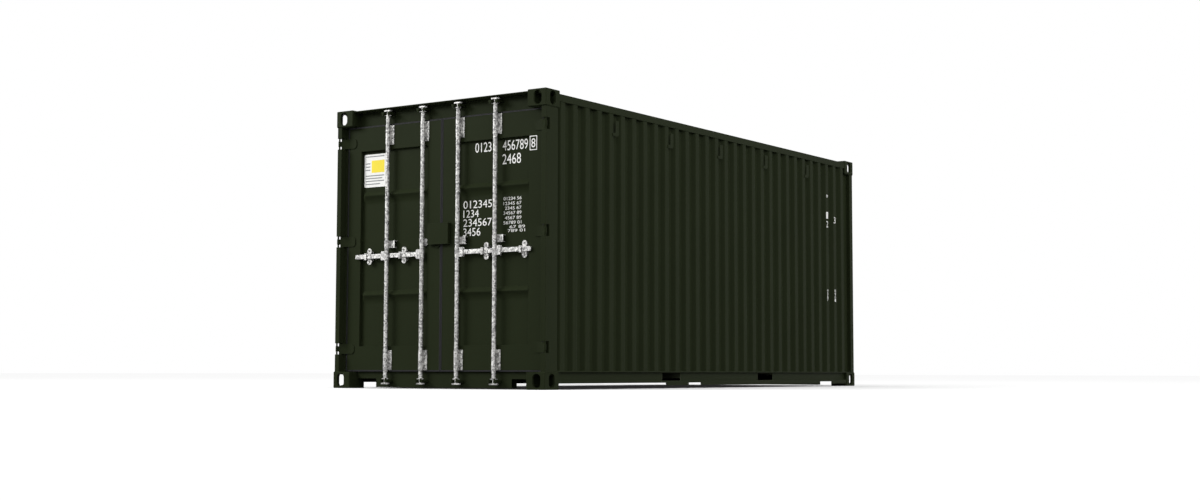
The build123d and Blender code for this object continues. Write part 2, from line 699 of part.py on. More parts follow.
def lock_bar(y, side):
    """A lock bar from cam to cam, with the hub that its handle turns in."""
    top = cam_level(TOP_HEAD_TOP, 1)[2] - FLANGE_THICKNESS
    bottom = cam_level(BOTTOM_HEAD_BOTTOM, -1)[2] + FLANGE_THICKNESS
    pieces = [rod(BAR_RADIUS, BAR_X, y, bottom, top),
              rod(SLEEVE_RADIUS, BAR_X, y, HANDLE_Z - HUB_HEIGHT / 2, HANDLE_Z + HUB_HEIGHT / 2)]
    front = (HANDLE_FRONT - HUB_GAP - HUB_FRONT_CHEEK, HANDLE_FRONT - HUB_GAP)
    back = (HANDLE_BACK + HUB_GAP, HANDLE_BACK + HUB_GAP + HUB_BACK_CHEEK)
    across = sorted((y, y + side * HUB_REACH))
    for x in (front, back):
        cheek = block(x, across, (HANDLE_Z - HUB_HEIGHT / 2, HANDLE_Z + HUB_HEIGHT / 2))
        ends = cheek.edges().filter_by(Axis.X).group_by(Axis.Y)[-1 if side > 0 else 0]
        pieces.append(fillet(ends, HUB_CORNER))
    pin = Pos((front[0] + back[1]) / 2, y + side * HUB_PIN_REACH, HANDLE_Z) * Rot(0, 90, 0)
    pieces.append(pin * Cylinder(PIN_RADIUS, back[1] - front[0]))
    return one(pieces)


def handle(y, side):
    """A flat handle with an eye on the hub's pin."""
    pin_y = y + side * HUB_PIN_REACH
    middle_x = (HANDLE_FRONT + HANDLE_BACK) / 2
    bar = block((HANDLE_FRONT, HANDLE_BACK), sorted((pin_y, y + side * HANDLE_REACH[abs(y)])),
                (HANDLE_Z - HANDLE_HEIGHT / 2, HANDLE_Z + HANDLE_HEIGHT / 2))
    tip = bar.edges().filter_by(Axis.X).group_by(Axis.Y)[-1 if side > 0 else 0]
    bar = fillet(tip, HANDLE_TIP_RADIUS)
    eye = Pos(middle_x, pin_y, HANDLE_Z) * Rot(0, 90, 0) * Cylinder(HANDLE_EYE, HANDLE_THICKNESS)
    bore = Pos(middle_x, pin_y, HANDLE_Z) * Rot(0, 90, 0)
    return bar + eye - bore * Cylinder(PIN_RADIUS + HUB_PIN_CLEARANCE, 2 * HANDLE_THICKNESS)


def keeper(y, up):
    """Two prongs that reach between a cam's plates, each with a tip in front of the flange."""
    start = TOP_HEAD_TOP if up > 0 else BOTTOM_HEAD_BOTTOM
    inner, flange = cam_level(start, up)[1:]
    middle = (inner + flange) / 2
    z = (middle - PRONG_HEIGHT / 2, middle + PRONG_HEIGHT / 2)
    tip_z = (z[0] - TIP_HEIGHT, z[0]) if up > 0 else (z[1], z[1] + TIP_HEIGHT)
    back = BAR_X - TIP_REACH
    front = back - TIP_THICKNESS
    prongs = []
    for side in (-1, 1):
        prong = block((front, BEAM_FACE), sorted((y + side * PRONG_NEAR, y + side * PRONG_FAR)), z)
        tip = block((front, back), sorted((y + side * TIP_NEAR, y + side * TIP_FAR)), tip_z)
        prongs.append(prong + tip)
    return prongs


def keepers(up):
    """All keepers at one level."""
    return apart([prong for y, side in BARS.values() for prong in keeper(y, up)])


def sleeve(y, z, height):
    """A sleeve that a lock bar turns in."""
    ring = Pos(BAR_X, y, z) * Cylinder(SLEEVE_RADIUS, height)
    return ring, Pos(BAR_X, y, z) * Cylinder(BAR_RADIUS + SLEEVE_CLEARANCE, height)


def bar_bracket(y, z):
    """A tall bracket at a bar's end: a plate on the leaf, reaching right, and a sleeve."""
    ring, bore = sleeve(y, z, BRACKET_HEIGHT)
    span = (z - BRACKET_HEIGHT / 2, z + BRACKET_HEIGHT / 2)
    plate = block((FACE - BRACKET_PLATE, FACE), (y - BRACKET_REACH, y + SLEEVE_RADIUS), span)
    bridge = block((BAR_X, FACE - BRACKET_PLATE), (y - SLEEVE_RADIUS, y + SLEEVE_RADIUS), span)
    return one([plate, bridge, ring]) - bore


def mid_bracket(y):
    """A small channel bracket on the recessed panel, with a short sleeve."""
    ring, bore = sleeve(y, MID_BRACKET_CENTRE, MID_BRACKET_HEIGHT)
    low = MID_BRACKET_CENTRE - MID_BRACKET_HEIGHT / 2
    high = MID_BRACKET_CENTRE + MID_BRACKET_HEIGHT / 2
    right = y - BRACKET_REACH if y < 0 else max(y - BRACKET_REACH, RECESS_INNER)
    across = (right, y + SLEEVE_RADIUS)
    channel = block((BAR_X, PANEL_FACE), across, (low, high))
    channel -= block((FACE, PANEL_FACE), across, (low + MID_BRACKET_FLANGE, high - MID_BRACKET_FLANGE))
    channel -= block((BAR_X, FACE - BRACKET_PLATE), (right, y - SLEEVE_RADIUS), (low, high))
    return channel + ring - bore


def bar_brackets(places):
    """The brackets of a leaf's two bars."""
    return apart([bracket for y in places
                  for bracket in (bar_bracket(y, TOP_BRACKET_CENTRE), bar_bracket(y, BOTTOM_BRACKET_CENTRE),
                                  mid_bracket(y))])


def retainer(bar_y, share):
    """A lobed plate on a boss, at a share of the handle's reach, and the hook that the handle drops into."""
    side = 1 if bar_y > 0 else -1
    y = bar_y + side * HANDLE_REACH[abs(bar_y)] * share
    plate_x = (FACE - RETAINER_PLATE, FACE)
    straight = RETAINER_HEIGHT / 2 - RETAINER_WIDTH / 2
    plate = block(plate_x, (y - RETAINER_WAIST / 2, y + RETAINER_WAIST / 2),
                  (HANDLE_Z - straight, HANDLE_Z + straight))
    pieces = [plate, block((FACE, PANEL_FACE), (y - RETAINER_BOSS / 2, y + RETAINER_BOSS / 2),
                           (HANDLE_Z - straight, HANDLE_Z + straight))]
    middle = (plate_x[0] + plate_x[1]) / 2
    holes = []
    for z in (HANDLE_Z - straight, HANDLE_Z + straight):
        spot = Pos(middle, y, z) * Rot(0, 90, 0)
        pieces.append(spot * Cylinder(RETAINER_WIDTH / 2, RETAINER_PLATE))
        holes.append(spot * Cylinder(RETAINER_HOLE, RETAINER_PLATE))
    hook_y = (y + HOOK_OFFSET - HOOK_WIDTH / 2, y + HOOK_OFFSET + HOOK_WIDTH / 2)
    under = HANDLE_Z - HANDLE_HEIGHT / 2 - HOOK_CLEARANCE
    over = HANDLE_Z + HANDLE_HEIGHT / 2 + HOOK_RISE
    front = HANDLE_FRONT - HOOK_CLEARANCE
    pieces.append(block(plate_x, (y, hook_y[1]), (under - HOOK_PLATE, over)))
    pieces.append(block((front - HOOK_PLATE, FACE), hook_y, (under - HOOK_PLATE, under)))
    pieces.append(block((front - HOOK_PLATE, front), hook_y, (under, over)))
    return one(pieces) - holes


def lock_box():
    """A hood on the right leaf that reaches over the left one, open below."""
    front = FACE - BOX_DEPTH
    hood = block((front, FACE), (BOX_RIGHT, BOX_LEFT), (BOX_BOTTOM, BOX_TOP))
    hood -= block((front + BOX_PLATE, FACE), (BOX_RIGHT + BOX_PLATE, BOX_LEFT - BOX_PLATE),
                  (BOX_BOTTOM, BOX_TOP - BOX_PLATE))
    return hood - block((FACE - BOX_CLEARANCE, FACE), (-LEAF_Y[0], BOX_LEFT), (BOX_BOTTOM, BOX_TOP))


def eye_plate():
    """A round-ended plate on the left leaf, under the lock box, with a padlock hole."""
    x = (FACE - EYE_THICKNESS, FACE)
    middle = FACE - EYE_THICKNESS / 2
    plate = block(x, (EYE_CENTRE - EYE_RADIUS, EYE_CENTRE + EYE_RADIUS), (BOX_BOTTOM, EYE_TOP))
    disc = Pos(middle, EYE_CENTRE, BOX_BOTTOM) * Rot(0, 90, 0)
    plate = plate + disc * Cylinder(EYE_RADIUS, EYE_THICKNESS)
    return plate - disc * Cylinder(EYE_HOLE, 2 * EYE_THICKNESS)


def build():
    """Every sub-part by name."""
    parts = castings()
    pairs = {"door_post": door_post(), "side_wall": side_wall(), "door_leaf": door_leaf(),
             "door_seal": door_seal(), "hinge_blades": hinge_blades()}
    for name, shape in pairs.items():
        parts["left_" + name] = shape
        parts["right_" + name] = other_side(shape)
    parts["closed_end_posts"] = both_sides(end_post())
    parts["top_rails"] = both_sides(top_rail())
    parts["bottom_rails"] = both_sides(bottom_rail())
    parts["closed_end_wall"] = end_wall()
    parts["wall_lugs"] = wall_lugs()
    parts["roof"] = roof()
    parts["floor"] = floor_deck()
    parts["cross_members"] = cross_members()
    parts["fork_pockets"] = fork_pockets()
    parts["door_header"] = door_header()
    parts["door_sill"] = door_sill()
    parts["closed_end_sill"] = closed_end_sill()
    parts["closed_end_top_rail"] = closed_end_top_rail()
    parts["header_keepers"] = keepers(1)
    parts["sill_keepers"] = keepers(-1)
    parts["left_bar_brackets"] = bar_brackets((BAR_OUTER, BAR_INNER))
    parts["right_bar_brackets"] = bar_brackets((-BAR_INNER, -BAR_OUTER))
    distances = (BAR_OUTER, BAR_INNER)
    parts["left_handle_retainers"] = apart([retainer(y, LEFT_RETAINER_SHARE) for y in distances])
    parts["right_handle_retainers"] = apart([retainer(-y, RIGHT_RETAINER_SHARE) for y in distances])
    parts["lock_box"] = lock_box()
    parts["lock_eye_plate"] = eye_plate()
    for name, (y, side) in BARS.items():
        parts[name + "_lock_bar"] = lock_bar(y, side)
        parts[name + "_cams"] = bar_cams(y)
        parts[name + "_handle"] = handle(y, side)
    return parts


for node, shape in build().items():
    export_step(shape, f"parts/{node}.step")
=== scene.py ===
import json
import math

import bmesh
import bpy
from bpy.props import FloatProperty, FloatVectorProperty, IntProperty, PointerProperty
from bpy.types import Operator, Panel, PropertyGroup
from mathutils import Matrix, Vector


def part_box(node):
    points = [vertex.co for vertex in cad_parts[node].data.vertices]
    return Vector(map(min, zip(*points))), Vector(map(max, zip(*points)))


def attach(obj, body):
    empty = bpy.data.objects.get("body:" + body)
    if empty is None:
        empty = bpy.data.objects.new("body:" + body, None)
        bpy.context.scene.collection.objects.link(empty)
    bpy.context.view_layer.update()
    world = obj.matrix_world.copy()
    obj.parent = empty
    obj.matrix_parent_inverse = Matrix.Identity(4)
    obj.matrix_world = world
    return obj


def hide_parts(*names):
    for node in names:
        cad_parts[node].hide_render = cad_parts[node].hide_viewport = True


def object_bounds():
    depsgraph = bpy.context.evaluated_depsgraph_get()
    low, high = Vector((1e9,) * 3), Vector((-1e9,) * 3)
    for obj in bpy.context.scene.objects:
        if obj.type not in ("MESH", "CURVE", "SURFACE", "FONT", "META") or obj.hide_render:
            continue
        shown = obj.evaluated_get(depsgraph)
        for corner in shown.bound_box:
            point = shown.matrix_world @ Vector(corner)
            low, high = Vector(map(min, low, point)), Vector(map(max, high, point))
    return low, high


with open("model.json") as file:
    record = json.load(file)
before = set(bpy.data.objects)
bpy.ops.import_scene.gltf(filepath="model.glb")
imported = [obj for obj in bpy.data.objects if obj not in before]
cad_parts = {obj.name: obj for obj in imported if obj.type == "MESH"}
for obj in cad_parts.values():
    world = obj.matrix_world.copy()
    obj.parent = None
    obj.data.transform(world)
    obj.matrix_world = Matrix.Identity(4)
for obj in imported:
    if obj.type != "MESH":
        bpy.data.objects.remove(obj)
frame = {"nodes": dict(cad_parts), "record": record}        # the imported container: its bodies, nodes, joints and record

bl_info = {
    "name": "Freight Container Finish",
    "version": (1, 0, 0),
    "blender": (4, 5, 0),
    "location": "View3D > Sidebar > Container",
    "description": "Paint, galvanised gear, timber floor, markings and stage for a twenty foot container",
    "category": "Object",
}

CAD_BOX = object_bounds()
MM = 0.001

# Camera, solved from the container's corners in the photograph
CAMERA_PLACE = (-14.2378, -9.4045, 0.1542)
CAMERA_YAW = 0.59718
CAMERA_PITCH = 0.07453
CAMERA_ROLL = 0.00205
CAMERA_LENS = 48.966
SENSOR_WIDTH = 36.0

# Light, where 1 is white: the sky, the floor as it is seen, its glow, and what it throws on the container
SKY_LIGHT = 1.06
GROUND_DIFFUSE = 0.95
GROUND_GLOW = 0.02
GROUND_BOUNCE = 0.04
WHITE = (1.0, 1.0, 1.0)

# Lamps: place, target, width and height in metres, and power in watts
KEY_LAMP = ((-9.9, 7.4, 6.4), (-3.0, 0.0, 1.3), 5.0, 3.0, 800.0)
FILL_LAMP = ((-1.0, -9.0, 5.5), (-0.5, -1.2, 1.3), 13.0, 6.0, 300.0)

# Reach of the stage in metres
GROUND_SPAN = 160.0
SIGHT_LIMIT = 500.0

# Places of the main parts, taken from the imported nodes
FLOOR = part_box("floor")
CASTING_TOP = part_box("door_end_bottom_castings")[1].z
CASTING_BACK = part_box("door_end_bottom_castings")[1].x
POST_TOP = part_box("door_header")[0].z
FACE_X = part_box("left_door_leaf")[0].x
CREST_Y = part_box("right_side_wall")[0].y

# Door panels: the recess, its sheet and the ridges' crests; the reach takes in a packed ridge whole
RECESS_DEPTH = 33 * MM
RECESS_INNER = 165 * MM
RECESS_OUTER = 977 * MM
PANEL_SHEET = 3 * MM
PANEL_X = FACE_X + RECESS_DEPTH
RIDGE_CENTRES = (859 * MM, 1785 * MM)
RIDGE_REACH = 78 * MM
RIDGE_CREST_HALF = 4 * MM
RIDGE_RISE = 32 * MM
CREST_SHARE = 0.9

# Lock gear: bars and bracket plates, measured from the middle of the doors, their face or a bar
INNER_BAR = 206 * MM
OUTER_BAR = 627 * MM
BRACKET_PLATE = 6 * MM
PLATE_FREE_SIDE = 50 * MM
MID_BRACKET = 1320 * MM
TALL_APART = 400 * MM
BOLT_DOME_SHARE = 0.7

# Bolts of the upper, lower and middle brackets: height, rises from it and distance aside of the bar
TALL_BOLT_RISES = (-66 * MM, -22 * MM, 22 * MM, 66 * MM)
BRACKET_BOLTS = (
    (POST_TOP - 108 * MM, TALL_BOLT_RISES, 39 * MM),
    (CASTING_TOP + 107 * MM, TALL_BOLT_RISES, 39 * MM),
    (MID_BRACKET, (-17 * MM, 17 * MM), 50 * MM),
)

# Ends of the names of the nodes that are lock gear
GEAR = ("_lock_bar", "_cams", "_handle", "_bar_brackets", "_handle_retainers", "_keepers",
        "_hinge_blades", "lock_box", "lock_eye_plate")

# Frame sections, floor, seals and welds
SECTIONS = ("left_door_post", "right_door_post", "closed_end_posts", "top_rails", "bottom_rails",
            "door_header", "door_sill", "closed_end_sill", "closed_end_top_rail", "cross_members",
            "fork_pockets")
END_POST_INNER = 1100 * MM
BOARD_GAP = 2 * MM
SCREW_SHARES = (0.05, 0.27, 0.5, 0.73, 0.95)
SCREW_RISE = 1.0 * MM
SCREW_RIM_SHARE = 0.55
SCREW_RECESS_WALL = 0.3 * MM
SCREW_RECESS_FALL = 0.7 * MM
SEAL_GROOVE_WALL = 0.5 * MM
WELD_PITCH = 0.75
WELD_SQUASH = 0.7

# Numbers on the right door's panel: digits, left, right, bottom and top, all in metres
DOOR_NUMBERS = (
    ("0123", -0.356, -0.538, 2.100, 2.186),
    ("456789", -0.665, -0.941, 2.095, 2.184),
    ("2468", -0.662, -0.866, 1.974, 2.065),
    ("012345", -0.226, -0.548, 1.604, 1.673),
    ("1234", -0.226, -0.400, 1.523, 1.590),
    ("234567", -0.226, -0.548, 1.442, 1.510),
    ("3456", -0.226, -0.420, 1.357, 1.429),
    ("01234 56", -0.677, -0.874, 1.655, 1.683),
    ("12345 67", -0.677, -0.874, 1.612, 1.640),
    ("2345 67", -0.692, -0.874, 1.570, 1.598),
    ("34567 89", -0.677, -0.874, 1.528, 1.556),
    ("4567 89", -0.692, -0.874, 1.485, 1.513),
    ("56789 01", -0.677, -0.874, 1.443, 1.471),
    ("67 89", -0.745, -0.914, 1.405, 1.431),
    ("789 01", -0.725, -0.914, 1.372, 1.398),
)
BOXED_NUMBER = (-0.985, -1.064, 2.072, 2.198)
OUTLINE = 7 * MM
DIGIT_CURVES = 6

# The boxed digit's left, bottom, width and height as shares of its box
BOXED_SHARES = (0.22, 0.19, 0.55, 0.62)

# Numbers down the right wall's crests: digits, centre, width, bottom and top
WALL_NUMBERS = (
    ("0", 2.372, 0.040, 2.122, 2.158),
    ("1", 2.372, 0.044, 1.878, 1.967),
    ("2", 2.372, 0.044, 1.780, 1.862),
    ("3", 2.562, 0.044, 1.838, 1.922),
    ("4567", 2.372, 0.030, 0.951, 1.089),
    ("8901", 2.562, 0.030, 0.950, 1.093),
)

# Height of each stacked digit as a share of its place
STACKED_SHARE = 0.86

# Notice plate and its block on the left door's panel: left, right, bottom and top
NOTICE = (0.966, 0.702, 1.867, 2.176)
NOTICE_BLOCK = (0.877, 0.718, 2.002, 2.117)
NOTICE_THICK = 1.0 * MM
NOTICE_CORNER = 10 * MM
BLOCK_CORNER = 2 * MM
RULE_CORNER = 1 * MM
RULE_HEIGHT = 9 * MM

# Rules of the notice: left, right and bottom
NOTICE_RULES = (
    (0.950, 0.720, 2.150), (0.950, 0.893, 2.085), (0.950, 0.893, 2.055), (0.950, 0.893, 2.025),
    (0.950, 0.720, 1.970), (0.950, 0.745, 1.945), (0.950, 0.720, 1.920), (0.950, 0.770, 1.892),
)

# Lashing holes: centres from the middle along x and y, half sizes, and where their wall starts
HOLE_CENTRE = (2926.5 * MM, 1129.5 * MM)
HOLE_HALF_WIDTH = 35 * MM
HOLE_HALF_HEIGHT = 55 * MM
HOLE_SLACK = 0.3 * MM
HOLE_WALL = 43 * MM

# Directions on the door end, seen from outside
TO_RIGHT = (0.0, -1.0, 0.0)
UPWARD = (0.0, 0.0, 1.0)

# Limits for shaping: touching points, faces square to an axis, room for a rounding, and angles
TOUCH = 0.02 * MM
FACING = 0.9
ROUNDING_ROOM = 1.5
HIP_STEPS = 5
FLAT = math.radians(1.0)
CREASE = math.radians(34.0)
CORNER = math.radians(50.0)
FOLD_LEAST = math.radians(25.0)
FOLD_MOST = math.radians(70.0)


def linear(code):
    """A linear colour from an sRGB hex value."""
    channels = [int(code[start:start + 2], 16) / 255 for start in (0, 2, 4)]
    return tuple(c / 12.92 if c <= 0.04045 else ((c + 0.055) / 1.055) ** 2.4 for c in channels)


def colour(name, description, code):
    """A colour property with an sRGB hex default."""
    return FloatVectorProperty(name=name, description=description, subtype="COLOR", size=3,
                               min=0.0, max=1.0, default=linear(code))


def length(name, description, metres):
    """A length property in metres."""
    return FloatProperty(name=name, description=description, unit="LENGTH", default=metres, min=0.0)


class ContainerColours(PropertyGroup):
    paint: colour("Paint", "Dark olive enamel on all painted steel", "242A1A")
    scuff: colour("Scuffs", "Rubbed steel inside the fork pockets", "4A4E40")
    zinc: colour("Zinc", "Bright galvanised lock gear", "E6E5E2")
    zinc_dark: colour("Dark spangle", "Darker crystals in the galvanising", "6F6F6E")
    rubber: colour("Rubber", "Door seals", "29292B")
    timber: colour("Timber", "Oiled plywood floor", "87633F")
    timber_dark: colour("Timber grain", "Dark grain in the plywood", "553A24")
    film: colour("White film", "Markings and the notice plate", "F2F2EF")
    yellow: colour("Yellow film", "Block on the notice plate", "F4DE1C")
    ink: colour("Grey ink", "Rules on the notice plate", "77797B")
    ground: colour("Ground", "Studio floor", "F6F6F6")


class ContainerSizes(PropertyGroup):
    edge: length("Edge radius", "Rounding on rolled and folded steel", 2.5 * MM)
    cast_edge: length("Casting radius", "Rounding on the corner castings", 2.0 * MM)
    gear_edge: length("Lock gear radius", "Rounding on forged and cut lock gear", 1.5 * MM)
    bend: length("Bend radius", "Rounding on the folds of the corrugated sheets", 9.0 * MM)
    roof_bend: length("Roof bend radius", "Rounding on the ribs of the roof sheet", 6.0 * MM)
    ridge_above: length("Ridge above", "Height of a door ridge over its crest", 40.0 * MM)
    ridge_below: length("Ridge below", "Height of the cove under a door ridge", 84.0 * MM)
    ridge_hip: length("Ridge hip", "Length of a door ridge's slanting left end", 50.0 * MM)
    ridge_stop: length("Ridge stop", "Length of a door ridge's steep right end", 6.0 * MM)
    cove: FloatProperty(name="Cove power", description="How hollow the underside of a ridge is",
                        default=2.1, min=1.0)
    cove_steps: IntProperty(name="Cove steps", description="Bends drawn in the underside of a ridge",
                            default=8, min=1)
    hole_width_growth: FloatProperty(name="Hole width", description="Growth of the lashing holes' width",
                                     default=1.2, min=1.0)
    hole_height_growth: FloatProperty(name="Hole height", description="Growth of the lashing holes' height",
                                      default=1.14, min=1.0)
    bracket_cut: length("Bracket cut", "Width taken off the plates of the tall bar brackets", 22.0 * MM)
    seal_lip: length("Seal lip", "Width of each lip of the door seal", 3.0 * MM)
    seal_groove: length("Seal groove", "Depth of the groove between the lips", 5.0 * MM)
    bolt: length("Bolt head", "Radius of the bolt heads on the lock gear", 9.0 * MM)
    bolt_rise: length("Bolt height", "Height of the bolt heads on the lock gear", 5.0 * MM)
    screw: length("Screw head", "Radius of the floor screws", 8.0 * MM)
    screw_pitch: length("Screw pitch", "Distance between rows of floor screws", 300.0 * MM)
    board: length("Board length", "Length of one plywood board", 1930.0 * MM)
    weld: length("Weld width", "Half width of the weld beads", 4.5 * MM)
    film: length("Film thickness", "Thickness of the cut film", 0.3 * MM)


def colours():
    """The colours set in the scene."""
    return bpy.context.scene.container_colours


def sizes():
    """The sizes set in the scene."""
    return bpy.context.scene.container_sizes


def node(tree, kind, inputs=None, **settings):
    """Adds a shader node; each input, by name or number, is linked to a socket or set to a value."""
    made = tree.nodes.new("ShaderNode" + kind)
    for name, value in settings.items():
        setattr(made, name, value)
    for name, value in (inputs or {}).items():
        if isinstance(value, bpy.types.NodeSocket):
            tree.links.new(value, made.inputs[name])
        else:
            made.inputs[name].default_value = value
    return made


def rgba(value, factor=1.0):
    """A colour as a socket takes it, made darker or lighter by a factor."""
    return (*(min(1.0, channel * factor) for channel in value), 1.0)


def new_material(name):
    """An empty material and its node tree."""
    material = bpy.data.materials.new(name)
    material.use_nodes = True
    material.node_tree.nodes.clear()
    return material, material.node_tree


def surface(tree, inputs):
    """Ends a material's tree with one principled shader."""
    shader = node(tree, "BsdfPrincipled", inputs)
    node(tree, "OutputMaterial", {"Surface": shader.outputs["BSDF"]})


def object_space(tree, scale=(1.0, 1.0, 1.0)):
    """Object coordinates in metres, stretched by a scale."""
    where = node(tree, "TexCoord")
    stretched = node(tree, "Mapping", {"Vector": where.outputs["Object"], "Scale": scale})
    return stretched.outputs["Vector"]


def enamel_paint(name, grain, strength, roughness):
    """Alkyd enamel sprayed on weathering steel: satin, with faint cloudiness and a fine orange peel."""
    material, tree = new_material(name)
    where = object_space(tree)
    clouds = node(tree, "TexNoise", {"Vector": where, "Scale": 1 / (450 * MM), "Detail": 4.0})
    tint = node(tree, "Mix", {"Factor": clouds.outputs["Fac"], 6: rgba(colours().paint, 0.9),
                              7: rgba(colours().paint, 1.1)}, data_type="RGBA")
    wear_marks = node(tree, "TexNoise", {"Vector": where, "Scale": 1 / (60 * MM), "Detail": 3.0})
    gloss = node(tree, "MapRange", {"Value": wear_marks.outputs["Fac"], "To Min": roughness - 0.05,
                                    "To Max": roughness + 0.07})
    peel = node(tree, "TexNoise", {"Vector": where, "Scale": 1 / grain, "Detail": 2.0})
    bump = node(tree, "Bump", {"Height": peel.outputs["Fac"], "Strength": strength, "Distance": 0.5 * MM})
    # The sheen is weak, because the photographed paint throws back almost no white
    surface(tree, {"Base Color": tint.outputs[2], "Roughness": gloss.outputs["Result"],
                   "Normal": bump.outputs["Normal"], "Specular IOR Level": 0.02})
    return material


def rolled_steel_paint():
    """Smooth sheet and sections, where only the orange peel shows, drawn at 9 mm instead of 3."""
    return enamel_paint("enamel_on_rolled_steel", 9 * MM, 0.12, 0.46)


def casting_paint():
    """Sand cast corners, whose grain of 4 mm shows through the same enamel."""
    return enamel_paint("enamel_on_sand_castings", 4 * MM, 0.5, 0.52)


def pocket_paint_with_scuffs_and_painted_light():
    """The same enamel rubbed through by forks, with paler scuffs some 60 mm long that run along the pocket,
    and the enamel itself drawn 1.6 times lighter as painted light inside the pocket.
    """
    material, tree = new_material("enamel_with_scuffs_and_painted_light")
    where = object_space(tree, (1.0, 0.2, 1.0))
    scuffs = node(tree, "TexNoise", {"Vector": where, "Scale": 1 / (12 * MM), "Detail": 4.0})
    # Painted light: the enamel at 1.6 times its colour stands in for light reaching into the pocket; the
    # scuff colour mixed over it is real wear
    tint = node(tree, "Mix", {"Factor": scuffs.outputs["Fac"], 6: rgba(colours().paint, 1.6),
                              7: rgba(colours().scuff)}, data_type="RGBA")
    gloss = node(tree, "MapRange", {"Value": scuffs.outputs["Fac"], "To Min": 0.4, "To Max": 0.6})
    surface(tree, {"Base Color": tint.outputs[2], "Roughness": gloss.outputs["Result"],
                   "Specular IOR Level": 0.02})
    return material


def spangled_zinc():
    """Hot dip galvanising: crystals of about 14 mm, each with its own grey and its own gloss."""
    material, tree = new_material("hot_dip_galvanised_spangle")
    where = object_space(tree)
    crystals = node(tree, "TexVoronoi", {"Vector": where, "Scale": 1 / (14 * MM)})
    split = node(tree, "SeparateColor", {"Color": crystals.outputs["Color"]})
    value = split.outputs["Red"]
    frost = node(tree, "TexNoise", {"Vector": where, "Scale": 1 / (5 * MM), "Detail": 3.0})
    mixed = node(tree, "Math", {0: value, 1: frost.outputs["Fac"]}, operation="MULTIPLY")
    level = node(tree, "MapRange", {"Value": mixed.outputs["Value"], "From Max": 0.55})
    tint = node(tree, "Mix", {"Factor": level.outputs["Result"], 6: rgba(colours().zinc_dark),
                              7: rgba(colours().zinc)}, data_type="RGBA")
    gloss = node(tree, "MapRange", {"Value": value, "To Min": 0.32, "To Max": 0.6})
    bump = node(tree, "Bump", {"Height": value, "Strength": 0.15, "Distance": 0.4 * MM})
    # Old zinc is partly covered by its own grey oxide, so it is less than fully metallic
    surface(tree, {"Base Color": tint.outputs[2], "Roughness": gloss.outputs["Result"],
                   "Normal": bump.outputs["Normal"], "Metallic": 0.6})
    return material


def moulded_rubber():
    """Extruded EPDM: nearly black, dull, with a light bloom."""
    material, tree = new_material("extruded_epdm_rubber")
    bloom = node(tree, "TexNoise", {"Vector": object_space(tree), "Scale": 1 / (30 * MM), "Detail": 3.0})
    tint = node(tree, "Mix", {"Factor": bloom.outputs["Fac"], 6: rgba(colours().rubber, 0.8),
                              7: rgba(colours().rubber, 1.25)}, data_type="RGBA")
    gloss = node(tree, "MapRange", {"Value": bloom.outputs["Fac"], "To Min": 0.6, "To Max": 0.8})
    surface(tree, {"Base Color": tint.outputs[2], "Roughness": gloss.outputs["Result"],
                   "Specular IOR Level": 0.3})
    return material


def oiled_plywood():
    """Marine plywood under oil: brown, with grain lines of about 6 mm that run along the boards."""
    material, tree = new_material("oiled_marine_plywood")
    along = object_space(tree, (0.03, 1.0, 1.0))
    grain = node(tree, "TexNoise", {"Vector": along, "Scale": 1 / (6 * MM), "Detail": 5.0})
    clouds = node(tree, "TexNoise", {"Vector": object_space(tree), "Scale": 1 / (500 * MM), "Detail": 3.0})
    mixed = node(tree, "Math", {0: grain.outputs["Fac"], 1: clouds.outputs["Fac"]}, operation="MULTIPLY")
    level = node(tree, "MapRange", {"Value": mixed.outputs["Value"], "From Min": 0.1, "From Max": 0.4})
    tint = node(tree, "Mix", {"Factor": level.outputs["Result"], 6: rgba(colours().timber_dark),
                              7: rgba(colours().timber)}, data_type="RGBA")
    gloss = node(tree, "MapRange", {"Value": grain.outputs["Fac"], "To Min": 0.5, "To Max": 0.75})
    bump = node(tree, "Bump", {"Height": grain.outputs["Fac"], "Strength": 0.3, "Distance": 0.6 * MM})
    surface(tree, {"Base Color": tint.outputs[2], "Roughness": gloss.outputs["Result"],
                   "Normal": bump.outputs["Normal"]})
    return material


def cut_vinyl(name, value):
    """Self-adhesive vinyl film: even colour with a little dirt, smooth and slightly glossy."""
    material, tree = new_material(name)
    dirt = node(tree, "TexNoise", {"Vector": object_space(tree), "Scale": 1 / (50 * MM), "Detail": 3.0})
    tint = node(tree, "Mix", {"Factor": dirt.outputs["Fac"], 6: rgba(value, 0.93),
                              7: rgba(value, 1.04)}, data_type="RGBA")
    surface(tree, {"Base Color": tint.outputs[2], "Roughness": 0.42, "Specular IOR Level": 0.35})
    return material


MATERIALS = {}


def make_materials():
    """Every finish of the container, by the slot or the piece that wears it."""
    MATERIALS.update(
        olive_paint=rolled_steel_paint(),
        casting_paint=casting_paint(),
        pocket_paint=pocket_paint_with_scuffs_and_painted_light(),
        galvanised_steel=spangled_zinc(),
        seal_rubber=moulded_rubber(),
        floor_timber=oiled_plywood(),
        white_film=cut_vinyl("white_cut_vinyl", colours().film),
        yellow_film=cut_vinyl("yellow_cut_vinyl", colours().yellow),
        grey_ink=cut_vinyl("grey_cut_vinyl", colours().ink),
    )


def wear(piece, name):
    """Gives a piece one finish all over."""
    piece.data.materials.clear()
    piece.data.materials.append(MATERIALS[name])


def only(piece):
    """Selects one object and nothing else."""
    bpy.ops.object.select_all(action="DESELECT")
    piece.select_set(True)
    bpy.context.view_layer.objects.active = piece


def slot_of(name):
    """The material slot that the record gives a node."""
    for entry in frame["record"]["subparts"]:
        if entry["node"] == name:
            return entry["material_slot"]
    raise ValueError(f"no slot for {name}")


def body_of(name):
    """The body that the record puts a node on."""
    for body, nodes in frame["record"]["behaviour"]["bodies"].items():
        if name in nodes:
            return body
    raise ValueError(f"no body for {name}")


def apply_all(piece):
    """Applies every modifier of a piece."""
    only(piece)
    for modifier in list(piece.modifiers):
        bpy.ops.object.modifier_apply(modifier=modifier.name)


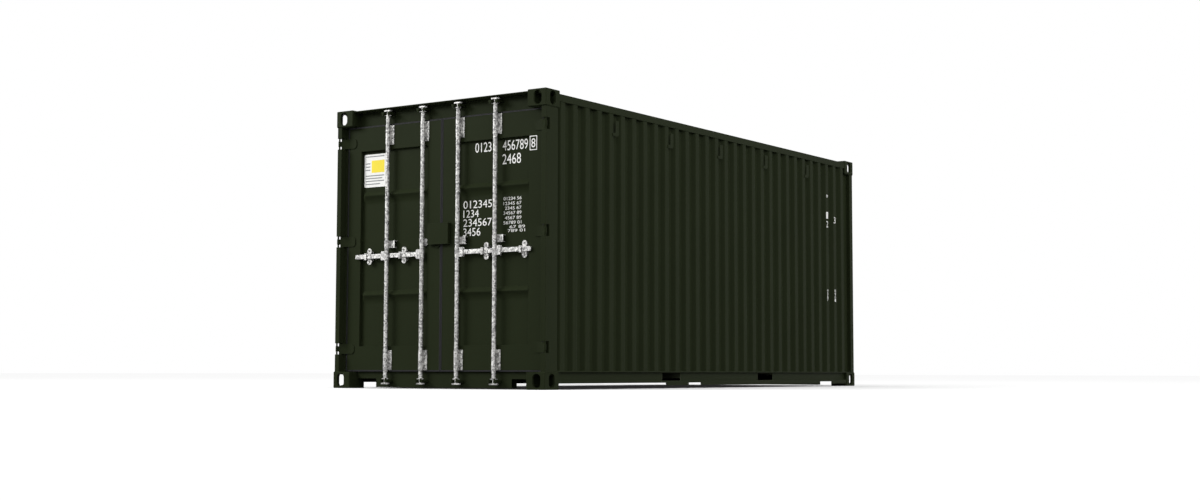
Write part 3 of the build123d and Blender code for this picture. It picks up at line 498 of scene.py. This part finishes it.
def smooth(piece, creased=None):
    """Smooth shading that breaks at edges over the crease angle, and at any edge that a test picks."""
    only(piece)
    bpy.ops.object.shade_smooth_by_angle(angle=CREASE)
    if creased:
        mesh = bmesh.new()
        mesh.from_mesh(piece.data)
        for edge in mesh.edges:
            if creased(edge):
                edge.smooth = False
        mesh.to_mesh(piece.data)
        mesh.free()
    normals = piece.modifiers.new("normals", "WEIGHTED_NORMAL")
    normals.keep_sharp = True
    apply_all(piece)


def copy_of(name):
    """A welded copy of a node's mesh with its flat faces joined, ready to be shaped."""
    piece = bpy.data.objects.new(name + "_finished", frame["nodes"][name].data.copy())
    bpy.context.scene.collection.objects.link(piece)
    only(piece)
    bpy.ops.mesh.customdata_custom_splitnormals_clear()
    mesh = bmesh.new()
    mesh.from_mesh(piece.data)
    bmesh.ops.remove_doubles(mesh, verts=mesh.verts, dist=TOUCH)
    bmesh.ops.dissolve_limit(mesh, angle_limit=FLAT, verts=mesh.verts, edges=mesh.edges)
    mesh.to_mesh(piece.data)
    mesh.free()
    return piece


def stand_for(piece, name, finish=None):
    """The piece takes the node's place, body, slot and finish."""
    wear(piece, finish or slot_of(name))
    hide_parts(name)
    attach(piece, body_of(name))


def add_to(piece, body, finish):
    """The piece joins a body without replacing a node."""
    wear(piece, finish)
    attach(piece, body)


def round_edges(piece, radius, steps, chosen):
    """Rounds the edges that a test picks out and whose faces are wide enough for the radius."""
    mesh = bmesh.new()
    mesh.from_mesh(piece.data)
    weight = mesh.edges.layers.float.new("bevel_weight_edge")
    for edge in mesh.edges:
        if len(edge.link_faces) != 2 or not chosen(edge):
            continue
        width = min(face.calc_area() for face in edge.link_faces) / max(edge.calc_length(), TOUCH)
        if width > ROUNDING_ROOM * radius:
            edge[weight] = 1.0
    mesh.to_mesh(piece.data)
    mesh.free()
    rounding = piece.modifiers.new("rounding", "BEVEL")
    rounding.limit_method = "WEIGHT"
    rounding.width = radius
    rounding.segments = steps
    apply_all(piece)


def outer_edge(edge):
    """True for a convex edge sharper than the least corner."""
    return edge.is_convex and edge.calc_face_angle() > CORNER


def fold(edge):
    """True for a fold of the corrugated sheets, not for their cut ends."""
    return FOLD_LEAST < edge.calc_face_angle() < FOLD_MOST


def pick_faces(piece, test):
    """In edit mode, selects the faces that pass a test and nothing else."""
    bpy.ops.mesh.select_mode(type="FACE")
    bpy.ops.mesh.select_all(action="DESELECT")
    mesh = bmesh.from_edit_mesh(piece.data)
    for face in mesh.faces:
        face.select_set(bool(test(face)))
    bmesh.update_edit_mesh(piece.data)


def faces_up(face):
    """True for a face that looks upward."""
    return face.normal.z > FACING


def lay(piece, origin, across, up):
    """Turns a mesh drawn flat at the origin: its x runs across, its y runs up."""
    across, up = Vector(across), Vector(up)
    turn = Matrix((across, up, across.cross(up))).transposed().to_4x4()
    piece.data.transform(Matrix.Translation(origin) @ turn)


def duplicate(piece):
    """A copy of a piece with its own mesh."""
    twin = piece.copy()
    twin.data = piece.data.copy()
    bpy.context.scene.collection.objects.link(twin)
    return twin


def joined(pieces, name):
    """Joins pieces into one object with a new name."""
    only(pieces[0])
    for piece in pieces:
        piece.select_set(True)
    bpy.ops.object.join()
    pieces[0].name = name
    return pieces[0]


def applied():
    """Writes the active object's place and scale into its mesh, and returns the object."""
    bpy.ops.object.transform_apply(location=True, rotation=True, scale=True)
    return bpy.context.active_object


def remove(piece):
    """Deletes a pattern piece once its copies are made."""
    bpy.data.objects.remove(piece, do_unlink=True)


class CONTAINER_OT_paint(Operator):
    """Gives every node the finish of its slot"""
    bl_idname = "container.paint"
    bl_label = "Paint the nodes"

    def execute(self, context):
        make_materials()
        for name, piece in frame["nodes"].items():
            wear(piece, "casting_paint" if name.endswith("_castings") else slot_of(name))
        return {"FINISHED"}


class CONTAINER_OT_castings(Operator):
    """Corner castings with rounded rims"""
    bl_idname = "container.castings"
    bl_label = "Corner castings"

    def execute(self, context):
        for name in frame["nodes"]:
            if name.endswith("_castings"):
                piece = copy_of(name)
                widen_holes(piece)
                round_edges(piece, sizes().cast_edge, 3, outer_edge)
                smooth(piece)
                stand_for(piece, name, "casting_paint")
        return {"FINISHED"}


def widen_holes(piece):
    """Makes the lashing holes of the castings as wide and tall as the photograph shows them."""
    # A hole's rim lies half its width away from an upright line through its middle
    middle = CASTING_TOP / 2
    for vert in piece.data.vertices:
        rise = min((vert.co.z - middle, vert.co.z - (CAD_BOX[1].z - middle)), key=abs)
        for axis in (0, 1):
            if abs(vert.co[axis]) < HOLE_CENTRE[axis] + HOLE_WALL:
                continue
            aside = abs(vert.co[1 - axis]) - HOLE_CENTRE[1 - axis]
            over = max(0.0, abs(rise) - HOLE_HALF_HEIGHT + HOLE_HALF_WIDTH)
            if abs(math.hypot(aside, over) - HOLE_HALF_WIDTH) < HOLE_SLACK:
                side = math.copysign(1.0, vert.co[1 - axis])
                vert.co[1 - axis] += side * aside * (sizes().hole_width_growth - 1.0)
                vert.co.z += rise * (sizes().hole_height_growth - 1.0)
                break


class CONTAINER_OT_sections(Operator):
    """Posts, rails, sills and header with the rounded edges of rolled and folded steel"""
    bl_idname = "container.sections"
    bl_label = "Frame sections"

    def execute(self, context):
        for name in SECTIONS:
            piece = copy_of(name)
            round_edges(piece, sizes().edge, 3, outer_edge)
            smooth(piece)
            stand_for(piece, name, "pocket_paint" if name == "fork_pockets" else None)
        return {"FINISHED"}


class CONTAINER_OT_walls(Operator):
    """Corrugated walls and roof with rounded folds"""
    bl_idname = "container.walls"
    bl_label = "Corrugated sheets"

    def execute(self, context):
        for name, radius in (("left_side_wall", sizes().bend), ("right_side_wall", sizes().bend),
                             ("closed_end_wall", sizes().bend), ("roof", sizes().roof_bend)):
            piece = copy_of(name)
            round_edges(piece, radius, 3, fold)
            smooth(piece)
            stand_for(piece, name)
        return {"FINISHED"}


class CONTAINER_OT_leaves(Operator):
    """Door leaves, whose pressed ridges get a hollow underside and a slanting left end"""
    bl_idname = "container.leaves"
    bl_label = "Door leaves"

    def execute(self, context):
        for name, left, right in (("left_door_leaf", RECESS_OUTER, RECESS_INNER),
                                  ("right_door_leaf", -RECESS_INNER, -RECESS_OUTER)):
            piece = copy_of(name)
            press_ridges(piece, left, right)
            round_edges(piece, sizes().edge, 3, leaf_edge)
            smooth(piece, on_crest)
            stand_for(piece, name)
        return {"FINISHED"}


def on_panel(vert):
    """True for a vertex inside the recess, on its sheet or its ridges."""
    inside = RECESS_INNER - TOUCH < abs(vert.co.y) < RECESS_OUTER + TOUCH
    return inside and FACE_X + TOUCH < vert.co.x < PANEL_X + PANEL_SHEET + TOUCH


def leaf_edge(edge):
    """True for a corner of a door leaf outside its pressed panel."""
    return outer_edge(edge) and not any(on_panel(vert) for vert in edge.verts)


def at_crest(vert):
    """True for a vertex on one of the two bends that bound a ridge's crest."""
    stands_out = vert.co.x < PANEL_X + PANEL_SHEET - CREST_SHARE * RIDGE_RISE
    offset = min(abs(abs(vert.co.z - centre) - RIDGE_CREST_HALF) for centre in RIDGE_CENTRES)
    return stands_out and offset < TOUCH


def on_crest(edge):
    """True for an edge that runs along a ridge's crest."""
    level = abs(edge.verts[0].co.z - edge.verts[1].co.z) < TOUCH
    return level and all(on_panel(vert) and at_crest(vert) for vert in edge.verts)


def press_ridges(piece, left, right):
    """Flattens the panel of a door leaf, then presses both ridges into its two skins again."""
    mesh = bmesh.new()
    mesh.from_mesh(piece.data)
    flatten_ridges(mesh, left, right)
    cut_bends(mesh, left, right)
    for vert in dict.fromkeys(vert for face in panel_faces(mesh, left, right) for vert in face.verts):
        vert.co.x -= RIDGE_RISE * ridge_share(vert.co.y, vert.co.z, left, right)
    mesh.to_mesh(piece.data)
    mesh.free()


def flatten_ridges(mesh, left, right):
    """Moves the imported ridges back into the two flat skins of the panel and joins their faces."""
    for vert in mesh.verts:
        near = any(abs(vert.co.z - centre) < RIDGE_REACH + TOUCH for centre in RIDGE_CENTRES)
        within = right - TOUCH < vert.co.y < left + TOUCH
        if near and within and FACE_X + TOUCH < vert.co.x < PANEL_X + PANEL_SHEET + TOUCH:
            front = sum(face.normal.x for face in vert.link_faces) < 0
            vert.co.x = PANEL_X if front else PANEL_X + PANEL_SHEET
    mesh.normal_update()
    bmesh.ops.dissolve_limit(mesh, angle_limit=FLAT, verts=mesh.verts, edges=mesh.edges)


def cut_bends(mesh, left, right):
    """Cuts the flat skins along every bend of the new ridges and across both their ends."""
    heights = [height for centre in RIDGE_CENTRES for height in ridge_rows(centre)]
    columns = [left - sizes().ridge_hip * step / HIP_STEPS for step in range(1, HIP_STEPS + 1)]
    columns.append(right + sizes().ridge_stop)
    cuts = [((0.0, 0.0, height), (0.0, 0.0, 1.0)) for height in heights]
    cuts += [((0.0, column, 0.0), (0.0, 1.0, 0.0)) for column in columns]
    for spot, normal in cuts:
        faces = panel_faces(mesh, left, right)
        edges = dict.fromkeys(edge for face in faces for edge in face.edges)
        verts = dict.fromkeys(vert for face in faces for vert in face.verts)
        bmesh.ops.bisect_plane(mesh, geom=[*verts, *edges, *faces], plane_co=spot, plane_no=normal,
                               dist=TOUCH)


def panel_faces(mesh, left, right):
    """The faces of the flattened panel's front and back skins."""
    found = []
    for face in mesh.faces:
        centre = face.calc_center_median()
        skin = min(abs(centre.x - PANEL_X), abs(centre.x - PANEL_X - PANEL_SHEET)) < TOUCH
        if skin and abs(face.normal.x) > FACING and right < centre.y < left:
            found.append(face)
    return found


def ridge_rows(centre):
    """The heights at which a ridge's sheet is bent, from its top root to the foot of its cove."""
    crest = centre - RIDGE_CREST_HALF
    steps = sizes().cove_steps
    depth = sizes().ridge_below - RIDGE_CREST_HALF
    return [centre + sizes().ridge_above, centre + RIDGE_CREST_HALF,
            *(crest - depth * step / steps for step in range(steps + 1))]


def ridge_share(y, z, left, right):
    """How far out a point of a ridge stands, from 0 at its root to 1 at its crest."""
    ends = min(1.0, max(0.0, (left - y) / sizes().ridge_hip), max(0.0, (y - right) / sizes().ridge_stop))
    over = sizes().ridge_above - RIDGE_CREST_HALF
    under = sizes().ridge_below - RIDGE_CREST_HALF
    for centre in RIDGE_CENTRES:
        rise = z - centre
        if -sizes().ridge_below < rise < sizes().ridge_above:
            if rise > RIDGE_CREST_HALF:
                return min(ends, 1.0 - (rise - RIDGE_CREST_HALF) / over)
            if rise < -RIDGE_CREST_HALF:
                return min(ends, max(0.0, 1.0 + (rise + RIDGE_CREST_HALF) / under) ** sizes().cove)
            return ends
    return 0.0


class CONTAINER_OT_seals(Operator):
    """Door seals with two lips and a groove between them"""
    bl_idname = "container.seals"
    bl_label = "Door seals"

    def execute(self, context):
        for name in ("left_door_seal", "right_door_seal"):
            piece = copy_of(name)
            bpy.ops.object.mode_set(mode="EDIT")
            pick_faces(piece, lambda face: face.normal.x < -FACING)
            bpy.ops.mesh.inset(thickness=sizes().seal_lip, depth=0.0)
            bpy.ops.mesh.inset(thickness=SEAL_GROOVE_WALL, depth=-sizes().seal_groove)
            bpy.ops.object.mode_set(mode="OBJECT")
            smooth(piece)
            stand_for(piece, name)
        return {"FINISHED"}


class CONTAINER_OT_gear(Operator):
    """Lock bars, cams, handles, brackets and lugs with broken edges"""
    bl_idname = "container.gear"
    bl_label = "Lock gear"

    def execute(self, context):
        for name in frame["nodes"]:
            if name.endswith(GEAR):
                piece = copy_of(name)
                if name.endswith("_bar_brackets"):
                    narrow_plates(piece)
                round_edges(piece, sizes().gear_edge, 2, outer_edge)
                smooth(piece)
                stand_for(piece, name)
        return {"FINISHED"}


def narrow_plates(piece):
    """Cuts back the plates of the tall brackets on their free side."""
    for vert in piece.data.vertices:
        tall = abs(vert.co.z - MID_BRACKET) > TALL_APART
        offsets = [vert.co.y - side * bar for side in (-1, 1) for bar in (INNER_BAR, OUTER_BAR)]
        if tall and min(offsets, key=abs) < -PLATE_FREE_SIDE:
            vert.co.y += sizes().bracket_cut


class CONTAINER_OT_boards(Operator):
    """Plywood floor in two rows of boards, screwed down"""
    bl_idname = "container.boards"
    bl_label = "Floor boards"

    def execute(self, context):
        low, high = FLOOR
        count = math.ceil((high.x - low.x) / sizes().board)
        run = (high.x - low.x) / count
        boards = []
        for row in (-1, 1):
            for step in range(count):
                ends = (low.x + run * step + BOARD_GAP / 2, low.x + run * (step + 1) - BOARD_GAP / 2)
                sides = sorted((row * BOARD_GAP / 2, row * high.y))
                boards.append(board(ends, sides, (low.z, high.z)))
        piece = joined(boards, "floor_boards")
        smooth(piece)
        stand_for(piece, "floor")
        add_to(floor_screws(), "frame", "galvanised_steel")
        return {"FINISHED"}


def board(ends, sides, rise):
    """One plywood board with its upper edges broken."""
    bpy.ops.object.select_all(action="DESELECT")
    middle = [sum(pair) / 2 for pair in (ends, sides, rise)]
    spans = [pair[1] - pair[0] for pair in (ends, sides, rise)]
    bpy.ops.mesh.primitive_cube_add(size=1.0, location=middle, scale=spans)
    made = applied()
    bpy.ops.object.mode_set(mode="EDIT")
    pick_faces(made, faces_up)
    bpy.ops.mesh.bevel(offset=BOARD_GAP, segments=2)
    bpy.ops.object.mode_set(mode="OBJECT")
    return made


def floor_screws():
    """Flat screw heads in rows over the cross members, each with its driver recess."""
    low, high = FLOOR
    bpy.ops.object.select_all(action="DESELECT")
    bpy.ops.mesh.primitive_cylinder_add(vertices=12, radius=sizes().screw, depth=SCREW_RISE,
                                        location=(0.0, 0.0, 0.0))
    first = bpy.context.active_object
    bpy.ops.object.mode_set(mode="EDIT")
    pick_faces(first, faces_up)
    bpy.ops.mesh.inset(thickness=SCREW_RIM_SHARE * sizes().screw, depth=0.0)
    bpy.ops.mesh.inset(thickness=SCREW_RECESS_WALL, depth=-SCREW_RECESS_FALL)
    bpy.ops.object.mode_set(mode="OBJECT")
    heads = []
    rows = int((high.x - low.x) / sizes().screw_pitch)
    for row in range(rows):
        x = low.x + (row + 0.5) * (high.x - low.x) / rows
        for side in (-1, 1):
            for share in SCREW_SHARES:
                head = duplicate(first)
                head.data.transform(Matrix.Translation((x, side * share * high.y, high.z)))
                heads.append(head)
    remove(first)
    return joined(heads, "floor_screws")


class CONTAINER_OT_bolts(Operator):
    """Domed bolt heads on the plates of the bar brackets"""
    bl_idname = "container.bolts"
    bl_label = "Bolt heads"

    def execute(self, context):
        first = bolt_head()
        for door, side in (("left_door", 1), ("right_door", -1)):
            heads = []
            for bar in (INNER_BAR, OUTER_BAR):
                for height, rises, aside in BRACKET_BOLTS:
                    for rise in rises:
                        head = duplicate(first)
                        spot = (FACE_X - BRACKET_PLATE, side * bar - aside, height + rise)
                        lay(head, spot, TO_RIGHT, UPWARD)
                        heads.append(head)
            add_to(joined(heads, door + "_bolt_heads"), door, "galvanised_steel")
        remove(first)
        return {"FINISHED"}


def bolt_head():
    """A domed head: a short cylinder whose outer rim is rounded in edit mode."""
    bpy.ops.object.select_all(action="DESELECT")
    bpy.ops.mesh.primitive_cylinder_add(vertices=16, radius=sizes().bolt, depth=sizes().bolt_rise,
                                        location=(0.0, 0.0, sizes().bolt_rise / 2))
    head = applied()
    bpy.ops.object.mode_set(mode="EDIT")
    pick_faces(head, faces_up)
    bpy.ops.mesh.bevel(offset=BOLT_DOME_SHARE * sizes().bolt_rise, segments=3)
    bpy.ops.object.mode_set(mode="OBJECT")
    bpy.ops.object.shade_smooth_by_angle(angle=CREASE)
    return head


class CONTAINER_OT_welds(Operator):
    """Weld beads round the posts, where they stand on and hang from the castings"""
    bl_idname = "container.welds"
    bl_label = "Weld beads"

    def execute(self, context):
        post_low, post_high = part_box("left_door_post")
        end_low, end_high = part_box("closed_end_posts")
        lines = []
        for z in (CASTING_TOP, POST_TOP):
            for side in (-1, 1):
                y_in, y_out = side * END_POST_INNER, side * end_high.y
                lines.append(((post_low.x, side * post_low.y, z), (post_low.x, side * post_high.y, z)))
                lines.append(((post_low.x, side * post_high.y, z), (CASTING_BACK, side * post_high.y, z)))
                lines.append(((end_high.x, y_in, z), (end_high.x, y_out, z)))
                lines.append(((end_high.x, y_out, z), (end_low.x, y_out, z)))
        first = weld_scale()
        scales = []
        for start, stop in lines:
            start, stop = Vector(start), Vector(stop)
            count = int((stop - start).length / (WELD_PITCH * sizes().weld))
            for step in range(count):
                scale = duplicate(first)
                scale.data.transform(Matrix.Translation(start.lerp(stop, (step + 0.5) / count)))
                scales.append(scale)
        remove(first)
        piece = joined(scales, "post_weld_beads")
        smooth(piece)
        add_to(piece, "frame", "olive_paint")
        return {"FINISHED"}


def weld_scale():
    """One scale of a weld bead: a small ball with a flattened top and foot."""
    bpy.ops.object.select_all(action="DESELECT")
    bpy.ops.mesh.primitive_uv_sphere_add(segments=8, ring_count=5, radius=sizes().weld,
                                         location=(0.0, 0.0, 0.0))
    scale = bpy.context.active_object
    bpy.ops.object.mode_set(mode="EDIT")
    bpy.ops.mesh.select_all(action="SELECT")
    bpy.ops.transform.resize(value=(1.0, 1.0, WELD_SQUASH))
    bpy.ops.object.mode_set(mode="OBJECT")
    return scale


class CONTAINER_OT_numbers(Operator):
    """Plain white numbers cut from film, on the right door and the far end of the right wall"""
    bl_idname = "container.numbers"
    bl_label = "Numbers"

    def execute(self, context):
        add_to(joined(door_numbers(), "right_door_numbers"), "right_door", "white_film")
        add_to(joined(wall_numbers(), "right_wall_numbers"), "frame", "white_film")
        return {"FINISHED"}


def door_numbers():
    """The numbers on the right door's panel, and the boxed digit on its frame."""
    pieces = []
    for digits, left, right, bottom, top in DOOR_NUMBERS:
        piece = cut_number(digits, left - right, top - bottom)
        lay(piece, (PANEL_X, left, bottom), TO_RIGHT, UPWARD)
        pieces.append(piece)
    left, right, bottom, top = BOXED_NUMBER
    width, height = left - right, top - bottom
    in_share, up_share, width_share, height_share = BOXED_SHARES
    piece = cut_number("8", width_share * width, height_share * height)
    lay(piece, (FACE_X, left - in_share * width, bottom + up_share * height), TO_RIGHT, UPWARD)
    pieces.append(piece)
    piece = cut_outline(width, height)
    lay(piece, (FACE_X, left, bottom), TO_RIGHT, UPWARD)
    pieces.append(piece)
    return pieces


def wall_numbers():
    """The digits stacked down the crests of the right wall."""
    pieces = []
    for digits, centre, width, bottom, top in WALL_NUMBERS:
        each = (top - bottom) / len(digits)
        for step, digit in enumerate(digits):
            piece = cut_number(digit, width, STACKED_SHARE * each)
            low = top - each * (step + 1) + (1 - STACKED_SHARE) / 2 * each
            lay(piece, (centre - width / 2, CREST_Y, low), (1.0, 0.0, 0.0), UPWARD)
            pieces.append(piece)
    return pieces


def cut_number(digits, width, height):
    """Digits cut from film to a width and height, with their lower left corner at the origin."""
    bpy.ops.object.select_all(action="DESELECT")
    bpy.ops.object.text_add(location=(0.0, 0.0, 0.0))
    piece = bpy.context.active_object
    piece.data.body = digits
    piece.data.resolution_u = DIGIT_CURVES
    bpy.ops.object.convert(target="MESH")
    piece = bpy.context.active_object
    across = [vert.co.x for vert in piece.data.vertices]
    upward = [vert.co.y for vert in piece.data.vertices]
    piece.data.transform(Matrix.Translation((-min(across), -min(upward), 0.0)))
    stretch = (width / (max(across) - min(across)), height / (max(upward) - min(upward)), 1.0, 1.0)
    piece.data.transform(Matrix.Diagonal(stretch))
    thicken(piece)
    return piece


def thicken(piece):
    """Gives flat film its thickness, on the side that it faces."""
    only(piece)
    bpy.ops.object.mode_set(mode="EDIT")
    bpy.ops.mesh.select_all(action="SELECT")
    bpy.ops.mesh.remove_doubles(threshold=TOUCH)
    bpy.ops.object.mode_set(mode="OBJECT")
    film = piece.modifiers.new("film", "SOLIDIFY")
    film.thickness = sizes().film
    film.offset = 1.0
    apply_all(piece)


def cut_outline(width, height):
    """A thin upright frame of film with its lower left corner at the origin."""
    bpy.ops.object.select_all(action="DESELECT")
    bpy.ops.mesh.primitive_plane_add(size=1.0, location=(0.5, 0.5, 0.0))
    piece = applied()
    piece.data.transform(Matrix.Diagonal((width, height, 1.0, 1.0)))
    bpy.ops.object.mode_set(mode="EDIT")
    bpy.ops.mesh.select_all(action="SELECT")
    bpy.ops.mesh.inset(thickness=OUTLINE, depth=0.0)
    bpy.ops.mesh.delete(type="FACE")
    bpy.ops.object.mode_set(mode="OBJECT")
    thicken(piece)
    return piece


class CONTAINER_OT_notice(Operator):
    """White notice plate on the left door, with a plain yellow block and grey rules"""
    bl_idname = "container.notice"
    bl_label = "Notice plate"

    def execute(self, context):
        left, right, bottom, top = NOTICE
        card = plate(left, right, bottom, top, NOTICE_THICK, 0.0, NOTICE_CORNER)
        add_to(named(card, "notice_plate"), "left_door", "white_film")
        block = plate(*NOTICE_BLOCK, sizes().film, NOTICE_THICK, BLOCK_CORNER)
        add_to(named(block, "notice_yellow_block"), "left_door", "yellow_film")
        rules = [plate(start, end, low, low + RULE_HEIGHT, sizes().film, NOTICE_THICK, RULE_CORNER)
                 for start, end, low in NOTICE_RULES]
        add_to(joined(rules, "notice_rules"), "left_door", "grey_ink")
        return {"FINISHED"}


def named(piece, name):
    """The piece with a new name."""
    piece.name = name
    return piece


def plate(left, right, bottom, top, thick, stand_off, corner):
    """A thin plate on the left door's panel, with rounded corners."""
    bpy.ops.object.select_all(action="DESELECT")
    x = PANEL_X - stand_off - thick / 2
    bpy.ops.mesh.primitive_cube_add(size=1.0, location=(x, (left + right) / 2, (bottom + top) / 2),
                                    scale=(thick, left - right, top - bottom))
    made = applied()
    bpy.ops.object.mode_set(mode="EDIT")
    bpy.ops.mesh.select_mode(type="EDGE")
    bpy.ops.mesh.select_all(action="DESELECT")
    mesh = bmesh.from_edit_mesh(made.data)
    for edge in mesh.edges:
        along = edge.verts[0].co - edge.verts[1].co
        edge.select_set(abs(along.x) > FACING * along.length)
    bmesh.update_edit_mesh(made.data)
    bpy.ops.mesh.bevel(offset=corner, segments=4)
    bpy.ops.object.mode_set(mode="OBJECT")
    bpy.ops.object.shade_smooth_by_angle(angle=CREASE)
    return made


class CONTAINER_OT_stage(Operator):
    """Adds the camera, the pale floor, the lamps and the world"""
    bl_idname = "container.stage"
    bl_label = "Set the stage"

    def execute(self, context):
        add_camera()
        add_ground()
        add_lamps()
        add_world()
        context.scene.view_settings.view_transform = "Standard"
        return {"FINISHED"}


def add_camera():
    """The camera at the photograph's place, turned by yaw, pitch and roll."""
    flat = math.cos(CAMERA_PITCH)
    ahead = Vector((flat * math.cos(CAMERA_YAW), flat * math.sin(CAMERA_YAW), math.sin(CAMERA_PITCH)))
    right = Vector((math.sin(CAMERA_YAW), -math.cos(CAMERA_YAW), 0.0))
    up = right.cross(ahead)
    rolled_right = right * math.cos(CAMERA_ROLL) + up * math.sin(CAMERA_ROLL)
    rolled_up = up * math.cos(CAMERA_ROLL) - right * math.sin(CAMERA_ROLL)
    data = bpy.data.cameras.new("photo_camera")
    data.lens = CAMERA_LENS
    data.sensor_width = SENSOR_WIDTH
    data.clip_end = SIGHT_LIMIT
    camera = bpy.data.objects.new("photo_camera", data)
    turn = Matrix((rolled_right, rolled_up, -ahead)).transposed().to_4x4()
    camera.matrix_world = Matrix.Translation(CAMERA_PLACE) @ turn
    bpy.context.scene.collection.objects.link(camera)
    bpy.context.scene.camera = camera


def add_ground():
    """A wide pale floor that keeps the container's shadow."""
    bpy.ops.object.select_all(action="DESELECT")
    bpy.ops.mesh.primitive_plane_add(size=GROUND_SPAN, location=(0.0, 0.0, 0.0))
    ground = applied()
    ground.name = "ground"
    material, tree = new_material("matt_studio_floor")
    seen = seen_directly(tree)
    pale = colours().ground
    tint = node(tree, "Mix", {"Factor": seen, 6: rgba(pale, GROUND_BOUNCE),
                              7: rgba(pale, GROUND_DIFFUSE)}, data_type="RGBA")
    glow = node(tree, "Math", {0: seen, 1: GROUND_GLOW}, operation="MULTIPLY")
    surface(tree, {"Base Color": tint.outputs[2], "Roughness": 0.95, "Specular IOR Level": 0.0,
                   "Emission Color": rgba(WHITE), "Emission Strength": glow.outputs["Value"]})
    ground.data.materials.append(material)


def seen_directly(tree):
    """1 for what the camera, a mirror or glass sees, and 0 for light that only falls on the container."""
    path = node(tree, "LightPath")
    seen = path.outputs["Is Camera Ray"]
    for ray in ("Is Glossy Ray", "Is Transmission Ray"):
        highest = node(tree, "Math", {0: seen, 1: path.outputs[ray]}, operation="MAXIMUM")
        seen = highest.outputs["Value"]
    return seen


def add_lamp(name, spot, target, width, height, power):
    """A soft oblong lamp that faces a target."""
    data = bpy.data.lights.new(name, "AREA")
    data.shape = "RECTANGLE"
    data.size = width
    data.size_y = height
    data.energy = power
    lamp = bpy.data.objects.new(name, data)
    aim = (Vector(target) - Vector(spot)).to_track_quat("-Z", "Y")
    lamp.matrix_world = Matrix.Translation(spot) @ aim.to_matrix().to_4x4()
    bpy.context.scene.collection.objects.link(lamp)


def add_lamps():
    """A low key from the doors' left, and a weaker fill for the long side."""
    add_lamp("key_lamp", *KEY_LAMP)
    add_lamp("fill_lamp", *FILL_LAMP)


def add_world():
    """Even white light, and a white background for the camera and for reflections."""
    world = bpy.data.worlds.new("studio")
    world.use_nodes = True
    tree = world.node_tree
    tree.nodes.clear()
    soft = node(tree, "Background", {"Color": rgba(WHITE), "Strength": SKY_LIGHT})
    white = node(tree, "Background", {"Color": rgba(WHITE), "Strength": 1.0})
    mixed = node(tree, "MixShader", {"Fac": seen_directly(tree), 1: soft.outputs["Background"],
                                     2: white.outputs["Background"]})
    node(tree, "OutputWorld", {"Surface": mixed.outputs["Shader"]})
    bpy.context.scene.world = world


class CONTAINER_PT_panel(Panel):
    """Lists the container's finishing steps"""
    bl_idname = "CONTAINER_PT_panel"
    bl_label = "Container"
    bl_space_type = "VIEW_3D"
    bl_region_type = "UI"
    bl_category = "Container"

    def draw(self, context):
        for step in STEPS:
            self.layout.operator(step.bl_idname)


STEPS = (CONTAINER_OT_paint, CONTAINER_OT_castings, CONTAINER_OT_sections, CONTAINER_OT_walls,
         CONTAINER_OT_leaves, CONTAINER_OT_seals, CONTAINER_OT_gear, CONTAINER_OT_boards, CONTAINER_OT_bolts,
         CONTAINER_OT_welds, CONTAINER_OT_numbers, CONTAINER_OT_notice, CONTAINER_OT_stage)
CLASSES = (ContainerColours, ContainerSizes, *STEPS, CONTAINER_PT_panel)


def register():
    """Adds the classes, and the colours and sizes of the scene."""
    for item in CLASSES:
        bpy.utils.register_class(item)
    bpy.types.Scene.container_colours = PointerProperty(type=ContainerColours)
    bpy.types.Scene.container_sizes = PointerProperty(type=ContainerSizes)


def unregister():
    """Takes away what register adds."""
    del bpy.types.Scene.container_sizes
    del bpy.types.Scene.container_colours
    for item in reversed(CLASSES):
        bpy.utils.unregister_class(item)


def main():
    """Runs every step in order."""
    register()
    bpy.ops.container.paint()
    bpy.ops.container.castings()
    bpy.ops.container.sections()
    bpy.ops.container.walls()
    bpy.ops.container.leaves()
    bpy.ops.container.seals()
    bpy.ops.container.gear()
    bpy.ops.container.boards()
    bpy.ops.container.bolts()
    bpy.ops.container.welds()
    bpy.ops.container.numbers()
    bpy.ops.container.notice()
    bpy.ops.container.stage()


if __name__ == "__main__":
    main()
